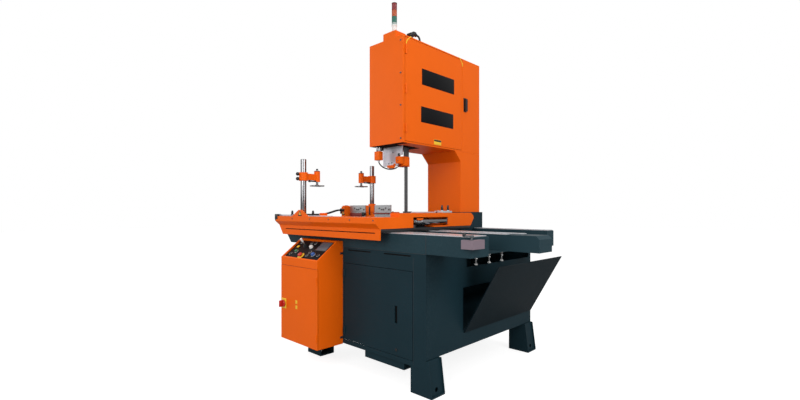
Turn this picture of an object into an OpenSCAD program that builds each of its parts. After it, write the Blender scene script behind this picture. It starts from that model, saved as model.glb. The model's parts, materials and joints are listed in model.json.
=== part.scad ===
// Vertical column band saw: a C-shaped saw frame slides front to back on a box base,
// under a roller bed with a two-jaw vise and a control cabinet in front.
// Millimetres. Origin on the floor at the centre of the four anchor holes,
// +X the operator's right, -Y the operator's side, +Z up.

/* [Base] */
// Width of the base box
base_w = 1323; // [1200:1:1600]
// Depth of the base box
base_d = 1460; // [1440:1:1760]
// Height of the top of the base box
base_top = 956; // [940:1:1150]
// Height of the lower edge of the side walls
side_bottom = 243; // [235:1:250]
// Height of the lower edge of the front and back aprons
apron_bottom = 181; // [150:1:215]
// Thickness of the base plates
plate_t = 8; // [5:1:12]
// Width of a foot across the machine
foot_w = 190; // [150:1:230]
// Depth of a foot
foot_d = 142; // [110:1:180]
// How far a foot flares out past the side wall
foot_flare = 51; // [20:1:70]
// Radius of an anchor hole
anchor_r = 13; // [8:0.5:18]

/* [Bed] */
// Height of the bed bars
bar_h = 128; // [100:1:150]
// Depth of the front bed bar
front_bar_d = 200; // [150:1:230]
// Overhang of the front bar past the base on the left
front_bar_left = 397; // [300:1:500]
// Overhang of the front bar past the base on the right
front_bar_right = 360; // [200:1:460]
// Overhang of the middle bar on the right
mid_bar_right = 590; // [300:1:700]
// Overhang of the back bar on the right
back_bar_right = 290; // [150:1:500]
// Thickness of the machined wear strips
strip_t = 6; // [3:1:10]

/* [Saw frame] */
// Width of the head and column
head_w = 392; // [330:1:440]
// How far the head's front face stands ahead of the column
throat_reach = 763; // [740:1:850]
// Depth of the column
column_d = 303; // [250:1:330]
// Height of the head's underside
head_bottom = 1788; // [1700:1:2000]
// Height of the head's top
head_top = 2640; // [2620:1:2900]
// Thickness of the head and column sheet
sheet_t = 6; // [4:1:8]
// Radius of the blade wheels
wheel_r = 334; // [300:1:336]
// Width of the wheel rims
rim_w = 38; // [34:1:48]
// Width of the blade
blade_w = 41; // [27:1:41]
// Thickness of the blade
blade_t = 1.6; // [1:0.1:2]
// Travel of the saw frame towards the operator
saw_travel = 430; // [100:1:432]

/* [Vise and posts] */
// Height of the vise box top
vise_top = 1200; // [1190:1:1230]
// Depth of the upper part of the vise box
vise_d = 245; // [235:1:260]
// Radius of the hold-down posts
post_r = 25; // [15:0.5:26]
// Height of the post tops
post_top = 1687; // [1660:1:1760]
// Reach of a hold-down arm
arm_reach = 140; // [120:1:160]
// Travel of the rear jaw
jaw_travel = 300; // [100:1:300]

/* [Cabinet] */
// Width of the control cabinet
cab_w = 520; // [460:1:530]
// Depth of the control cabinet
cab_d = 250; // [220:1:260]
// Height of the cabinet's underside
cab_bottom = 175; // [120:1:250]
// Height at the lower edge of the sloped console
console_low = 860; // [820:1:870]
// Height of the cabinet's flat top
cab_top = 1006; // [980:1:1010]

/* [Hidden] */
$fn = 64;

// clearances: slip is for faces that slide, gap for panels, run for shafts and collars
slip = 0.3;
gap = 3;
run = 0.06;

// base
hw = base_w / 2;
hd = base_d / 2;
deck_z = base_top - 12;
foot_plate = 14;
foot_x = hw + foot_flare - foot_w / 2;
foot_y = hd - foot_d / 2;
foot_top_flare = 20;
slot_hw = 150;
slot_front = -hd + 12;
slot_back = 640;

// bed
bed_z = base_top + bar_h;
strip_top = bed_z + strip_t;
blade_slot = 14;
bar_in = 235;
front_bar_y = [-hd, -hd + front_bar_d];
mid_bar_y = [-296, -113];
back_bar_y = [450, 570];
front_bar_x = [-hw - front_bar_left, hw + front_bar_right];
// the jacking screws stand just outside the side wall
jack_x = hw + 28.5;
jack_y = [-185, -6, 180];

// saw frame
hx = head_w / 2;
column_front = 301;
column_back = column_front + column_d;
head_front = column_front - throat_reach;
saddle_top = 1235;
wheel_y = 117;
upper_z = 2214;
lower_z = 604;
blade_y = wheel_y - wheel_r - slip - blade_t / 2;
return_y = wheel_y + wheel_r + slip + blade_t / 2;
corner = 90;
housing_x = 95;
housing_z = [255, 948];
rail_x = 185;
rail_w = 30;
rail_top = base_top + 28;
rail_front = -220;
rail_back = 690;
door_front = head_front + 22;
door_back = 325;
guide_y = -332;
guide_front = -280;

// vise
jaw_x = -620;
// the vise box stands ahead of the base's front
vise_ahead = 155;
vise_y = [-hd - vise_ahead, -hd - vise_ahead + vise_d];
vise_left = -1003;
lip_y = vise_y[0] + 44;
lip_t = 10;
box_floor = 1118;
vise_right = 332;
front_post_y = vise_y[0] + 47;
rear_post_y = -48;
arm_z = [1504, 1574];
pad_z = 1460;
rear_lift = 14;
jaw_back = 40;
slideway_top = strip_top + 14;

// cabinet
cab_x = [-738, -738 + cab_w];
cab_y = -hd - cab_d;
console_run = 192;
console_rise = cab_top - console_low;
console_tilt = atan2(console_rise, console_run);
console_len = sqrt(pow(console_run, 2) + pow(console_rise, 2));
cab_sheet = 4;
cab_door_top = 796;
recess = 12;

// access door and chip flap
door_x = [-200, 542];
door_z = [216, 831];
hinge_r = 6;
chip_y = [-308, 690];
chip_z = [355, 681];
flap_y = [-303, 715];
flap_len = 581;
flap_tilt = 29.6;
flap_t = 6;

// hose routes, held at both ends
coolant_route = [[-110, -425, 1672], [-110, -425, 1652], [-104, -421, 1631], [-88, -410, 1612],
    [-66, -392, 1602], [-44, -370, 1599], [-27, -347, 1603], [-15, -328, 1614], [-9, -313, 1629],
    [-8, -298, 1642], [-8, -280, 1644]];
clamp_route = [[-560, -700, 1214], [-600, -700, 1214], [-660, -699, 1214], [-730, -694, 1213],
    [-800, -680, 1213], [-860, -650, 1213], [-900, -605, 1212], [-925, -550, 1211], [-940, -490, 1211],
    [-947, -430, 1212], [-950, -370, 1216], [-950, -310, 1227], [-949, -260, 1240], [-948, -220, 1250],
    [-948, -180, 1254], [-948, -140, 1254]];

// a block between two opposite corners
module block(a, b) translate(a) cube(b - a);

// a rod along an axis: "x", "y" or "z"
module rod(p, len, r, axis = "z") translate(p)
    rotate(axis == "x" ? [0, 90, 0] : axis == "y" ? [-90, 0, 0] : [0, 0, 0]) cylinder(h = len, r = r);

// a YZ outline given as [y, z] points, extruded along X
module yz_prism(points, x0, x1) translate([x0, 0, 0]) rotate([90, 0, 90])
    linear_extrude(x1 - x0) polygon(points);

// an XZ outline given as [x, z] points, extruded along Y
module xz_prism(points, y0, y1) translate([0, y1, 0]) rotate([90, 0, 0])
    linear_extrude(y1 - y0) polygon(points);

// a round hose swept along a list of points
function unit(v) = v / norm(v);
function tangent(route, i) = unit(route[min(i + 1, len(route) - 1)] - route[max(i - 1, 0)]);
function ring(route, i, r, sides) = let(t = tangent(route, i),
    side = unit(cross(t, abs(t.z) > 0.9 ? [0, 1, 0] : [0, 0, 1])), up = cross(side, t))
    [for (k = [0:sides - 1]) route[i] + r * (cos(k * 360 / sides) * side + sin(k * 360 / sides) * up)];
module hose(route, r, sides = 10) {
    n = len(route);
    points = [for (i = [0:n - 1]) each ring(route, i, r, sides)];
    walls = [for (i = [0:n - 2], k = [0:sides - 1]) let(j = (k + 1) % sides)
        [i * sides + k, i * sides + j, (i + 1) * sides + j, (i + 1) * sides + k]];
    ends = [[for (k = [sides - 1:-1:0]) k], [for (k = [0:sides - 1]) (n - 1) * sides + k]];
    polyhedron(points, concat(walls, ends));
}

// places children in the sloped console's frame: u across, v up the slope, z outwards
module on_console(u, v) translate([cab_x[0], cab_y, console_low]) rotate([console_tilt, 0, 0])
    translate([u, v, -recess]) children();

module leg() difference() {
    union() {
        block([hw - foot_w + foot_flare, -hd, 0], [hw + foot_flare, -hd + foot_d, foot_plate]);
        xz_prism([[hw - foot_w + foot_flare, foot_plate], [hw + foot_flare, foot_plate],
            [hw + foot_top_flare, side_bottom], [hw, side_bottom], [hw, apron_bottom],
            [hw - foot_w + foot_flare, apron_bottom]], -hd, -hd + plate_t);
        xz_prism([[hw - foot_w + foot_flare, foot_plate], [hw + foot_flare, foot_plate],
            [hw + foot_top_flare, side_bottom], [hw - foot_w + foot_flare, side_bottom]],
            -hd + foot_d - plate_t, -hd + foot_d);
        xz_prism([[hw + foot_flare - 20, foot_plate], [hw + foot_flare - 12, foot_plate],
            [hw + foot_top_flare - 12, side_bottom], [hw + foot_top_flare - 20, side_bottom]],
            -hd + plate_t, -hd + foot_d - plate_t);
    }
    rod([foot_x, -foot_y, -1], foot_plate + 2, anchor_r);
    rod([hw, -foot_y, 45], foot_flare + foot_w, 16, "x");
}

module base_legs() color("darkslategray") for (sx = [0, 1], sy = [0, 1])
    mirror([sx, 0, 0]) mirror([0, sy, 0]) leg();

module floor_pan() color("darkslategray") difference() {
    union() {
        block([-hw + plate_t, -hd + plate_t + gap, side_bottom],
            [hw - plate_t, hd - plate_t, side_bottom + 8]);
        block([32, -hd + plate_t + 8, 125], [447, -hd + 240, side_bottom]);
    }
    block([38, -hd + plate_t + 14, 131], [441, -hd + 234, side_bottom + 9]);
}

module apron(y0, y1) xz_prism([[-hw, apron_bottom], [hw, apron_bottom], [hw, base_top], [-hw, base_top]],
    y0, y1);

module front_wall() color("darkslategray") difference() {
    apron(-hd, -hd + plate_t);
    block([door_x[0], -hd - 1, door_z[0]], [door_x[1], -hd + plate_t + 1, door_z[1]]);
    block([-158, -hd - 1, 930], [112, -hd + 3, 941]);
    block([257, -hd - 1, 930], [523, -hd + 3, 941]);
}

module rear_walls() color("darkslategray") {
    block([-hw, -hd + plate_t, side_bottom], [-hw + plate_t, hd - plate_t, base_top]);
    apron(hd - plate_t, hd);
}

module right_wall() color("darkslategray") difference() {
    block([hw - plate_t, -hd + plate_t, side_bottom], [hw, hd - plate_t, base_top]);
    block([hw - plate_t - 1, chip_y[0], chip_z[0]], [hw + 1, chip_y[1], chip_z[1]]);
    block([hw - plate_t - 1, -261, 830], [hw + 1, chip_y[1], deck_z - 8]);
}

module deck_plate() color("darkslategray") difference() {
    block([-hw + plate_t, -hd + plate_t, deck_z], [hw - plate_t, hd - plate_t, base_top]);
    block([-slot_hw, slot_front, deck_z - 1], [slot_hw, slot_back, base_top + 1]);
}

module front_bed_bar() color("darkslategray") difference() {
    block([front_bar_x[0], front_bar_y[0], base_top], [front_bar_x[1], front_bar_y[1], bed_z]);
    block([-blade_slot / 2, front_bar_y[0] + 15, base_top - 1], [blade_slot / 2, front_bar_y[1] + 1, bed_z + 1]);
    // the lower left end is cut away on a slant
    xz_prism([[front_bar_x[0] - 1, base_top - 1], [front_bar_x[0] + 70, base_top - 1],
        [front_bar_x[0] - 1, base_top + 80]], front_bar_y[0] - 1, front_bar_y[1] + 1);
}

module right_bed_frame() {
    mid_end = hw + mid_bar_right;
    difference() {
        union() {
            block([bar_in, mid_bar_y[0], base_top], [hw, mid_bar_y[1], bed_z]);
            block([hw, mid_bar_y[0], base_top + 16], [mid_end, mid_bar_y[1], bed_z]);
            block([bar_in, back_bar_y[0], base_top], [hw + back_bar_right, back_bar_y[1], bed_z]);
            block([jack_x - 30, mid_bar_y[0], base_top - 41], [jack_x + 30, back_bar_y[1], base_top + 16]);
            block([bar_in + 20, -240, bed_z], [vise_right - 12, -170, 1118]);
        }
        // chamfered end of the middle bar
        xz_prism([[mid_end - 25, bed_z + 1], [mid_end + 1, bed_z + 1], [mid_end + 1, bed_z - 25]],
            mid_bar_y[0] - 1, mid_bar_y[1] + 1);
        block([hw - plate_t - 1, mid_bar_y[0] - 1, base_top - 42], [hw + 0.5, back_bar_y[1] + 1, base_top]);
    }
}

module left_bed_frame() {
    block([front_bar_x[0], mid_bar_y[0], base_top], [-bar_in, mid_bar_y[1], bed_z]);
    block([-hw - 100, back_bar_y[0], base_top], [-bar_in, back_bar_y[1], bed_z]);
    block([-hw - 90, mid_bar_y[1], base_top], [-hw - 30, back_bar_y[0], base_top + 60]);
}

module bed_frames() color("darkslategray") {
    right_bed_frame();
    left_bed_frame();
}

module strip(x0, x1, y0, y1) block([x0, y0, bed_z], [x1, y1, strip_top]);

module wear_strips() color("silver") {
    strip(front_bar_x[0] + 8, -blade_slot / 2 - 1, front_bar_y[0] + 2, front_bar_y[1]);
    strip(blade_slot / 2 + 1, front_bar_x[1] - 18, front_bar_y[0] + 2, front_bar_y[1]);
    strip(bar_in, hw + 348, mid_bar_y[0], -245);
    strip(bar_in, hw + 404, -165, mid_bar_y[1]);
    strip(bar_in, hw + back_bar_right - 4, back_bar_y[0] + 10, back_bar_y[1] - 10);
    strip(front_bar_x[0], -bar_in, mid_bar_y[0] + 10, mid_bar_y[1]);
    strip(-hw - 100, -bar_in, back_bar_y[0] + 10, back_bar_y[1] - 10);
}

module jack_screws() color("gainsboro") for (y = jack_y) {
    rod([jack_x, y, base_top - 116 + 12], 63, 8);
    rod([jack_x, y, base_top - 116], 12, 14);
    translate([jack_x, y, base_top - 41 - 14]) cylinder(h = 14, r = 13, $fn = 6);
}

module linear_rails() color("silver") for (sx = [-1, 1])
    block([sx * rail_x - rail_w / 2, rail_front, base_top],
        [sx * rail_x + rail_w / 2, rail_back, rail_top]);

module coolant_tank() color("slategray") {
    difference() {
        block([-640, -600, side_bottom + 8], [-480, 600, 560]);
        block([-636, -596, side_bottom + 12], [-484, 596, 556]);
    }
    rod([-560, 390, 559], 165, 60);
}

cyl_y = [205, hd - plate_t];
feed_x = -160;
feed_z = 320;
bracket_y = [110, 130];
module feed_cylinder() color("dimgray") difference() {
    union() {
        rod([feed_x, cyl_y[0], feed_z], cyl_y[1] - cyl_y[0], 32, "y");
        rod([feed_x, cyl_y[1] - 20, feed_z], 20, 50, "y");
    }
    rod([feed_x, cyl_y[0] - 1, feed_z], cyl_y[1] - cyl_y[0] - 30, 16 + run, "y");
}

module feed_rod() color("silver")
    rod([feed_x, bracket_y[1], feed_z], cyl_y[1] - 45 - bracket_y[1], 16, "y");

module chip_chute() color("slategray") xz_prism([[120, 650], [120, 644], [hw, chip_z[0]], [hw, chip_z[0] + 6]], chip_y[0], chip_y[1]);

// the vise box's outer and inner YZ outlines
vise_outline = [[vise_y[0], vise_top], [vise_y[0], 1156], [lip_y, 1120], [lip_y, 1038],
    [lip_y + lip_t, 1038], [lip_y + lip_t, box_floor], [vise_y[1], box_floor], [vise_y[1], vise_top]];
vise_inner = [[vise_y[0] + 6, vise_top - 6], [vise_y[0] + 6, 1159], [lip_y + 6, 1124],
    [vise_y[1] - 6, box_floor + 6], [vise_y[1] - 6, vise_top - 6]];
module vise_box() color("orangered") difference() {
    union() {
        difference() {
            yz_prism(vise_outline, vise_left, vise_right);
            yz_prism(vise_inner, vise_left + 6, vise_right - 6);
            // the lip's left end slants inwards
            xz_prism([[vise_left - 1, box_floor], [vise_left - 1, 1037], [vise_left + 58, 1037]],
                vise_y[0] - 1, lip_y + lip_t + 1);
        }
        // feet that stand the box on the front bar
        for (x = [-880, -420, -70, 240]) block([x, vise_y[0] + 165, strip_top],
            [x + 50, vise_y[0] + 235, box_floor + 1]);
        // triangular gusset in front of the post
        xz_prism([[jaw_x - 123, vise_top], [jaw_x + 123, vise_top], [jaw_x + 24, vise_top + 55],
            [jaw_x - 24, vise_top + 55]], front_post_y - post_r - 10, front_post_y - post_r - 2);
        // junction block that the clamp hoses leave
        block([jaw_x + 60, vise_y[1] - 75, vise_top], [jaw_x + 90, vise_y[1] - 15, vise_top + 28]);
    }
    // the long slot of the front face and the blade's way in at the back
    block([vise_left + 100, vise_y[0] + 43, 1085], [vise_right - 50, vise_y[0] + 52, 1092]);
    block([-8, -hd + 15, strip_top - 1], [8, vise_y[1] + 1, vise_top + 1]);
}

module front_post() color("silver") rod([jaw_x, front_post_y, vise_top], post_top - vise_top, post_r);

// an arm that clamps on a post and reaches along dir (+1 or -1) in Y
module hold_down(post_y, z0, dir, r) {
    z1 = z0 + arm_z[1] - arm_z[0];
    end_y = post_y + dir * arm_reach;
    difference() {
        union() {
            rod([jaw_x, post_y, z0], z1 - z0, 37);
            block([jaw_x - 19, min(post_y, end_y), z0 + 8], [jaw_x + 19, max(post_y, end_y), z1 - 8]);
            rod([jaw_x, end_y, z0 - 4], z1 - z0 + 20, 26);
        }
        rod([jaw_x, post_y, z0 - 5], z1 - z0 + 10, r + run);
        rod([jaw_x, end_y, z0 - 5], z1 - z0 + 22, 10 + run);
    }
    // clamp knobs: two in front of the front collar, one on the left of the rear collar
    if (dir > 0) for (z = [z0 + 15, z1 - 15]) rod([jaw_x, post_y - 64, z], 30, 12, "y");
    if (dir < 0) rod([jaw_x - 64, post_y, z0 + 14], 30, 12, "x");
}

module front_arm() color("orangered") hold_down(front_post_y, arm_z[0], 1, post_r);
module rear_arm() color("orangered") hold_down(rear_post_y, arm_z[0] + rear_lift, -1, rear_post_r);

// a forked pad on a spindle through the arm's end, with a knob on top
module pad(y, z) {
    rod([jaw_x, y, z + 10], arm_z[1] - pad_z + 26, 10);
    rod([jaw_x, y, z + arm_z[1] - pad_z + 36], 14, 15);
    difference() {
        block([jaw_x - 38, y - 54, z], [jaw_x + 38, y + 32, z + 10]);
        for (side = [[-55, -17], [17, 33]]) block([jaw_x - 10, y + side[0], z - 1], [jaw_x + 10, y + side[1], z + 11]);
    }
}

module front_pad() color("silver") pad(front_post_y + arm_reach, pad_z);
module rear_pad() color("silver") pad(rear_post_y - arm_reach, pad_z + rear_lift);

module side_beam() color("orangered") difference() {
    yz_prism([[vise_y[1], 1118], [vise_y[1], 1230], [270, 1230], [305, 1205], [310, 1180], [262, 1118]],
        bar_in - 3, vise_right);
    block([bar_in - 4, -490, 1117], [vise_right + 1, -246, 1197]);
    block([vise_right - 60, -247, 1128], [vise_right + 1, -58, 1197]);
}

roller_z = 1162;
roller_r = 25;
module side_roller() color("silver") {
    x = vise_right - 30;
    rod([x, -480, roller_z], 412, roller_r, "y");
    for (k = [0:4]) rod([x, -478 + k * 18, roller_z], 9, roller_r + 3, "y");
    for (y = [-490, -68]) block([x - 22, y, roller_z - 28], [x + 22, y + 10, roller_z + 28]);
    rod([x, -460, strip_top + 2], roller_z - roller_r + 0.5 - strip_top - 2, 20);
}

module hose_manifold() color("orangered") {
    block([-985, -140, strip_top], [-930, -60, 1290]);
    block([-978, -132, 1290], [-937, -68, 1300]);
}

// two hoses side by side: the second runs behind the first on the box and left of it at the manifold
hose_r = 8;
module clamp_hoses() color("black") for (k = [0, 1]) {
    n = len(clamp_route);
    hose([for (i = [0:n - 1]) let(t = min(1, max(0, i - 1) / 6)) clamp_route[i] + k * 20 * [-t, 1 - t, 0]], hose_r, 8);
}

module jaw_slideway() color("slategray") {
    block([jaw_x - 70, -200, strip_top], [jaw_x + 70, back_bar_y[1] - 11, slideway_top]);
    block([jaw_x - 60, 455, slideway_top], [jaw_x + 60, 475, 1150]);
}

jaw_cyl_z = 1190;
jaw_cyl_y = [110, 475];
module jaw_cylinder() color("dimgray") difference() {
    union() {
        rod([jaw_x, jaw_cyl_y[0], jaw_cyl_z], jaw_cyl_y[1] - jaw_cyl_y[0], 35, "y");
        block([jaw_x - 60, 455, 1150], [jaw_x + 60, 475, 1240]);
    }
    rod([jaw_x, jaw_cyl_y[0] - 1, jaw_cyl_z], jaw_cyl_y[1] - jaw_cyl_y[0] - 20, 15 + run, "y");
}

foot_back = 380;
jaw_face = rear_post_y - 32;
rear_post_r = post_r - 3;
module rear_jaw() color("orangered") difference() {
    union() {
        block([-917, jaw_face + 12, strip_top + 3], [-328, jaw_back, 1236]);
        block([jaw_x - 60, jaw_face + 2, 1236], [jaw_x + 60, jaw_back, 1300]);
        block([jaw_x - 82, jaw_back, strip_top + 3], [jaw_x + 82, foot_back, slideway_top + 22]);
    }
    block([jaw_x - 70 - slip, jaw_face - 1, strip_top],
        [jaw_x + 70 + slip, foot_back + 1, slideway_top + slip]);
    rod([jaw_x, rear_post_y, 1240], 70, rear_post_r);
}

module jaw_plates() color("silver") for (x = [[-917, -682], [-548, -328]]) difference() {
    block([x[0], jaw_face, 1120], [x[1], jaw_face + 12, 1302]);
    for (k = [0.3, 0.7]) rod([x[0] + k * (x[1] - x[0]), jaw_face - 1, 1270], 14, 9, "y");
}

// the rear post and the clamp cylinder's rod
module jaw_bars() color("silver") {
    rod([jaw_x, rear_post_y, 1240], post_top - 1240, rear_post_r);
    rod([jaw_x, jaw_back, jaw_cyl_z], jaw_cyl_y[1] - 28 - jaw_back, 15, "y");
}

stop_x = front_bar_x[1];
module work_stop() color("rosybrown") difference() {
    union() {
        block([stop_x - 48, -hd - 36, 1014], [stop_x + 40, -hd, 1070]);
        block([stop_x, -hd, 1014], [stop_x + 40, -hd + 90, 1070]);
    }
    rod([stop_x + 20, -hd - 20, 1040], 31, 6 + run);
}

module stop_lever() color("dimgray") {
    rod([stop_x + 20, -hd - 20, 1042], 48, 6);
    block([stop_x - 30, -hd - 28, 1090], [stop_x + 28, -hd - 12, 1100]);
    rod([stop_x - 36, -hd - 20, 1090], 26, 12);
}

// the cabinet's side outline, with the sloped console
cab_outline = [[cab_y, cab_bottom], [cab_y, console_low], [cab_y + console_run, cab_top], [-hd, cab_top],
    [-hd, cab_bottom]];
module cabinet_shell() color("orangered") difference() {
    yz_prism(cab_outline, cab_x[0], cab_x[1]);
    // inner space
    yz_prism([[cab_y - 1, cab_bottom + 6], [cab_y - 1, cab_door_top], [cab_y + cab_sheet, cab_door_top],
        [cab_y + cab_sheet, console_low - recess - 8], [cab_y + console_run, cab_top - recess - 12],
        [-hd - cab_sheet, cab_top - recess - 12], [-hd - cab_sheet, cab_bottom + 6]],
        cab_x[0] + cab_sheet, cab_x[1] - cab_sheet);
    // the door closes the whole width of the front
    block([cab_x[0] - 1, cab_y - 1, cab_bottom - 1], [cab_x[1] + 1, cab_y + 8 + gap, cab_door_top]);
    // window for the console panel
    on_console(14, 12) translate([0, 0, -30]) cube([cab_w - 28, console_len - 24, 60]);
}

module console_panel() color("black") difference() {
    on_console(14, 12) translate([slip, slip, -4])
        cube([cab_w - 28 - 2 * slip, console_len - 24 - 2 * slip, 4]);
    for (p = [estop_at, start_at, speed_at, pressure_at, stick_at])
        on_console(p[0], p[1]) translate([0, 0, -10]) cylinder(h = 20, r = stem_r + run);
}

// controls on the console, as [across, up the slope]
estop_at = [231, 46];
start_at = [113, 90];
speed_at = [257, 154];
pressure_at = [376, 72];
stick_at = [157, 165];
stem_r = 8;
button_travel = 6;

// a control's stem runs through the panel into the cabinet
module stem(p) on_console(p[0], p[1]) translate([0, 0, -16]) cylinder(h = 18, r = stem_r);
module estop_button() color("red") {
    stem(estop_at);
    on_console(estop_at[0], estop_at[1]) translate([0, 0, 2]) rotate_extrude()
        polygon([[0, 6], [12, 6], [19, 12], [20, 18], [16, 24], [0, 27]]);
    on_console(estop_at[0], estop_at[1]) translate([0, 0, 1.9]) cylinder(h = 6.2, r = stem_r);
}
module start_button() color("green") {
    stem(start_at);
    on_console(start_at[0], start_at[1]) translate([0, 0, button_travel + 1]) cylinder(h = 8, r = 14);
    on_console(start_at[0], start_at[1]) cylinder(h = button_travel + 2, r = stem_r);
}
module turn_knob(p) {
    stem(p);
    on_console(p[0], p[1]) translate([0, 0, 1]) cylinder(h = 18, r1 = 17, r2 = 14);
    on_console(p[0], p[1]) translate([-2, 4, 1]) cube([4, 12, 19]);
}
module speed_knob() color("white") turn_knob(speed_at);
module pressure_knob() color("steelblue") turn_knob(pressure_at);
module joystick() color("silver") {
    // cross pin the lever tilts on, turned round the console's width
    on_console(stick_at[0], stick_at[1]) translate([-5.6, 0, -2]) rotate([0, 90, 0]) cylinder(h = 11.2, r = 5.5);
    on_console(stick_at[0], stick_at[1]) cylinder(h = 50, r = 5);
    on_console(stick_at[0], stick_at[1]) translate([0, 0, 46]) cylinder(h = 36, r1 = 7, r2 = 10);
}

module cabinet_door() color("orangered") difference() {
    union() {
        block([cab_x[0], cab_y, cab_bottom], [cab_x[1], cab_y + 8, cab_door_top - gap]);
        for (z = [cab_bottom + 60, cab_door_top - 120])
            rod([cab_x[1] - hinge_r, cab_y - hinge_r + 1, z], 60, hinge_r);
    }
    rod([switch_x, cab_y - 1, switch_z], 10, stem_r + run, "y");
}

switch_x = -690;
switch_z = 472;
module main_switch() color("firebrick") {
    rod([switch_x, cab_y - 20, switch_z], 40, stem_r, "y");
    rod([switch_x, cab_y - 36, switch_z], 30, 32, "y");
    block([switch_x - 8, cab_y - 50, switch_z - 30], [switch_x + 8, cab_y - 35, switch_z + 30]);
}

module access_door() color("darkslategray") difference() {
    union() {
        block([door_x[0] + gap, -hd, door_z[0] + gap], [door_x[1] - gap, -hd + plate_t, door_z[1] - gap]);
        for (z = [door_z[0] + 50, door_z[1] - 110])
            rod([door_x[0] + gap + hinge_r, -hd - hinge_r + 1, z], 60, hinge_r);
        // pocket behind the pull handle
        block([360, -hd + plate_t, 440], [402, -hd + plate_t + 18, 580]);
    }
    block([369, -hd - 1, 448], [394, -hd + plate_t + 14, 572]);
}

module chip_flap() color("darkslategray") translate([hw + 4, 0, chip_z[0] - 2]) rotate([0, flap_tilt, 0]) {
    block([0, flap_y[0], 0], [flap_t, flap_y[1], flap_len]);
    rod([0, flap_y[0], 0], flap_y[1] - flap_y[0], 3.5, "y");
}

module saddle() color("darkslategray") difference() {
    union() {
        block([-220, 280, rail_top + 30], [220, 620, saddle_top]);
        for (sx = [-1, 1]) block([sx * rail_x - 28, 290, base_top + 6], [sx * rail_x + 28, 610, rail_top + 31]);
        block([-housing_x, column_front, housing_z[1]], [housing_x, column_back, rail_top + 31]);
    }
    for (sx = [-1, 1]) block([sx * rail_x - rail_w / 2 - slip, 289, base_top],
        [sx * rail_x + rail_w / 2 + slip, 611, rail_top + slip]);
    block([-rim_w / 2 - 12, return_y - 30, housing_z[1] - 1], [rim_w / 2 + 12, return_y + 30, saddle_top + 1]);
}

module column() color("orangered") difference() {
    yz_prism([[column_front, saddle_top], [column_back, saddle_top], [column_back, head_bottom],
        [column_front - corner, head_bottom], [column_front, head_bottom - corner]], -hx, hx);
    yz_prism([[column_front + sheet_t, saddle_top - 1], [column_back - sheet_t, saddle_top - 1],
        [column_back - sheet_t, head_bottom + 1], [column_front - corner + sheet_t * 2.4, head_bottom + 1],
        [column_front + sheet_t, head_bottom - corner + sheet_t / 2.4]], -hx + sheet_t, hx - sheet_t);
}

lamp_at = [59, -420];
box_top = head_top + 55;
module head_shell() color("orangered") difference() {
    union() {
        difference() {
            block([-hx, head_front, head_bottom], [hx, column_back, head_top]);
            block([-hx + sheet_t, head_front + sheet_t, head_bottom + sheet_t],
                [hx - sheet_t, column_back - sheet_t, head_top - sheet_t]);
        }
        block([-29, head_front, head_top], [112, head_front + 120, box_top]);
    }
    // the door's opening on the right
    block([hx - sheet_t - 1, door_front, head_bottom + 12], [hx + 1, door_back, head_top - 12]);
    // ways for the guide carriage, the blade and the column
    block([-172, guide_y - 14, head_bottom - 1], [80, blade_y + 40, head_bottom + sheet_t + 1]);
    block([-hx + sheet_t, column_front - corner + sheet_t * 2.4, head_bottom - 1],
        [hx - sheet_t, column_back - sheet_t, head_bottom + sheet_t + 1]);
    block([-25, head_front + sheet_t, head_top - sheet_t - 1], [108, head_front + 116, box_top - 4]);
}

module head_door() color("orangered") {
    z = [head_bottom + 12 + gap, head_top - 12 - gap];
    block([hx - sheet_t, door_front + gap, z[0]], [hx, door_back - gap, z[1]]);
    for (k = [0.12, 0.5, 0.88])
        rod([hx + hinge_r - 1, door_front + gap + hinge_r, z[0] + k * (z[1] - z[0]) - 35], 70, hinge_r);
}

latch_z = 2223;
module door_latch() color("black") {
    rod([hx, 368, latch_z + 40], 14, 12, "x");
    block([hx + 8, 352, latch_z - 58], [hx + 20, 384, latch_z + 54]);
}

module stack_lamp() color("silver") {
    x = lamp_at[0];
    y = lamp_at[1];
    rod([x, y, box_top], 54, 19);
    rod([x, y, box_top + 54], 10, 22.5);
    rod([x, y, box_top + 64], 175, 21);
    rod([x, y, box_top + 239], 4, 22.5);
}

module lower_housing() color("darkslategray") difference() {
    union() {
        block([-housing_x, blade_y - 40, housing_z[0]], [housing_x, column_back, housing_z[1]]);
        block([feed_x - 40, bracket_y[0], feed_z - 40], [-housing_x, bracket_y[1], feed_z + 40]);
        // the lower blade guide stands on the housing's top
        block([-35, blade_y - 34, housing_z[1]], [35, blade_y + 34, housing_z[1] + 6]);
    }
    block([-housing_x + 8, blade_y - 32, housing_z[0] + 8],
        [housing_x - 8, column_back - 8, housing_z[1] - 6]);
    rod([-housing_x - 1, wheel_y, lower_z], 10, 30 + run, "x");
    block([-2, blade_y - 26, housing_z[1] - 9], [2, blade_y + 26, housing_z[1] + 11]);
    block([-rim_w / 2 - 12, return_y - 30, housing_z[1] - 9], [rim_w / 2 + 12, return_y + 30, housing_z[1] + 1]);
}

module gear_motor() color("slategray") difference() {
    union() {
        block([-housing_x - 170, wheel_y - 90, lower_z - 90], [-housing_x, wheel_y + 90, lower_z + 90]);
        rod([-housing_x - 85, wheel_y, lower_z + 90], 200, 80);
        rod([-housing_x - 85, wheel_y, lower_z + 290], 20, 70);
    }
    rod([-housing_x - 60, wheel_y, lower_z], 61, 30 + run, "x");
}

// ways for the wheel carrier and the guide carriage, and the tension cylinder
module head_ways() color("slategray") {
    block([-hx + sheet_t, guide_y - 22, head_bottom + 12], [-160 - slip, guide_y + 30, head_top - 60]);
    for (sy = [-1, 1]) block([-hx + sheet_t, wheel_y + sy * 62 - 10, upper_z - 160],
        [-hx + sheet_t + 60, wheel_y + sy * 62 + 10, upper_z + 130]);
    rod([-hx + sheet_t + 30, wheel_y, upper_z - 250], 150, 28);
}

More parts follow.
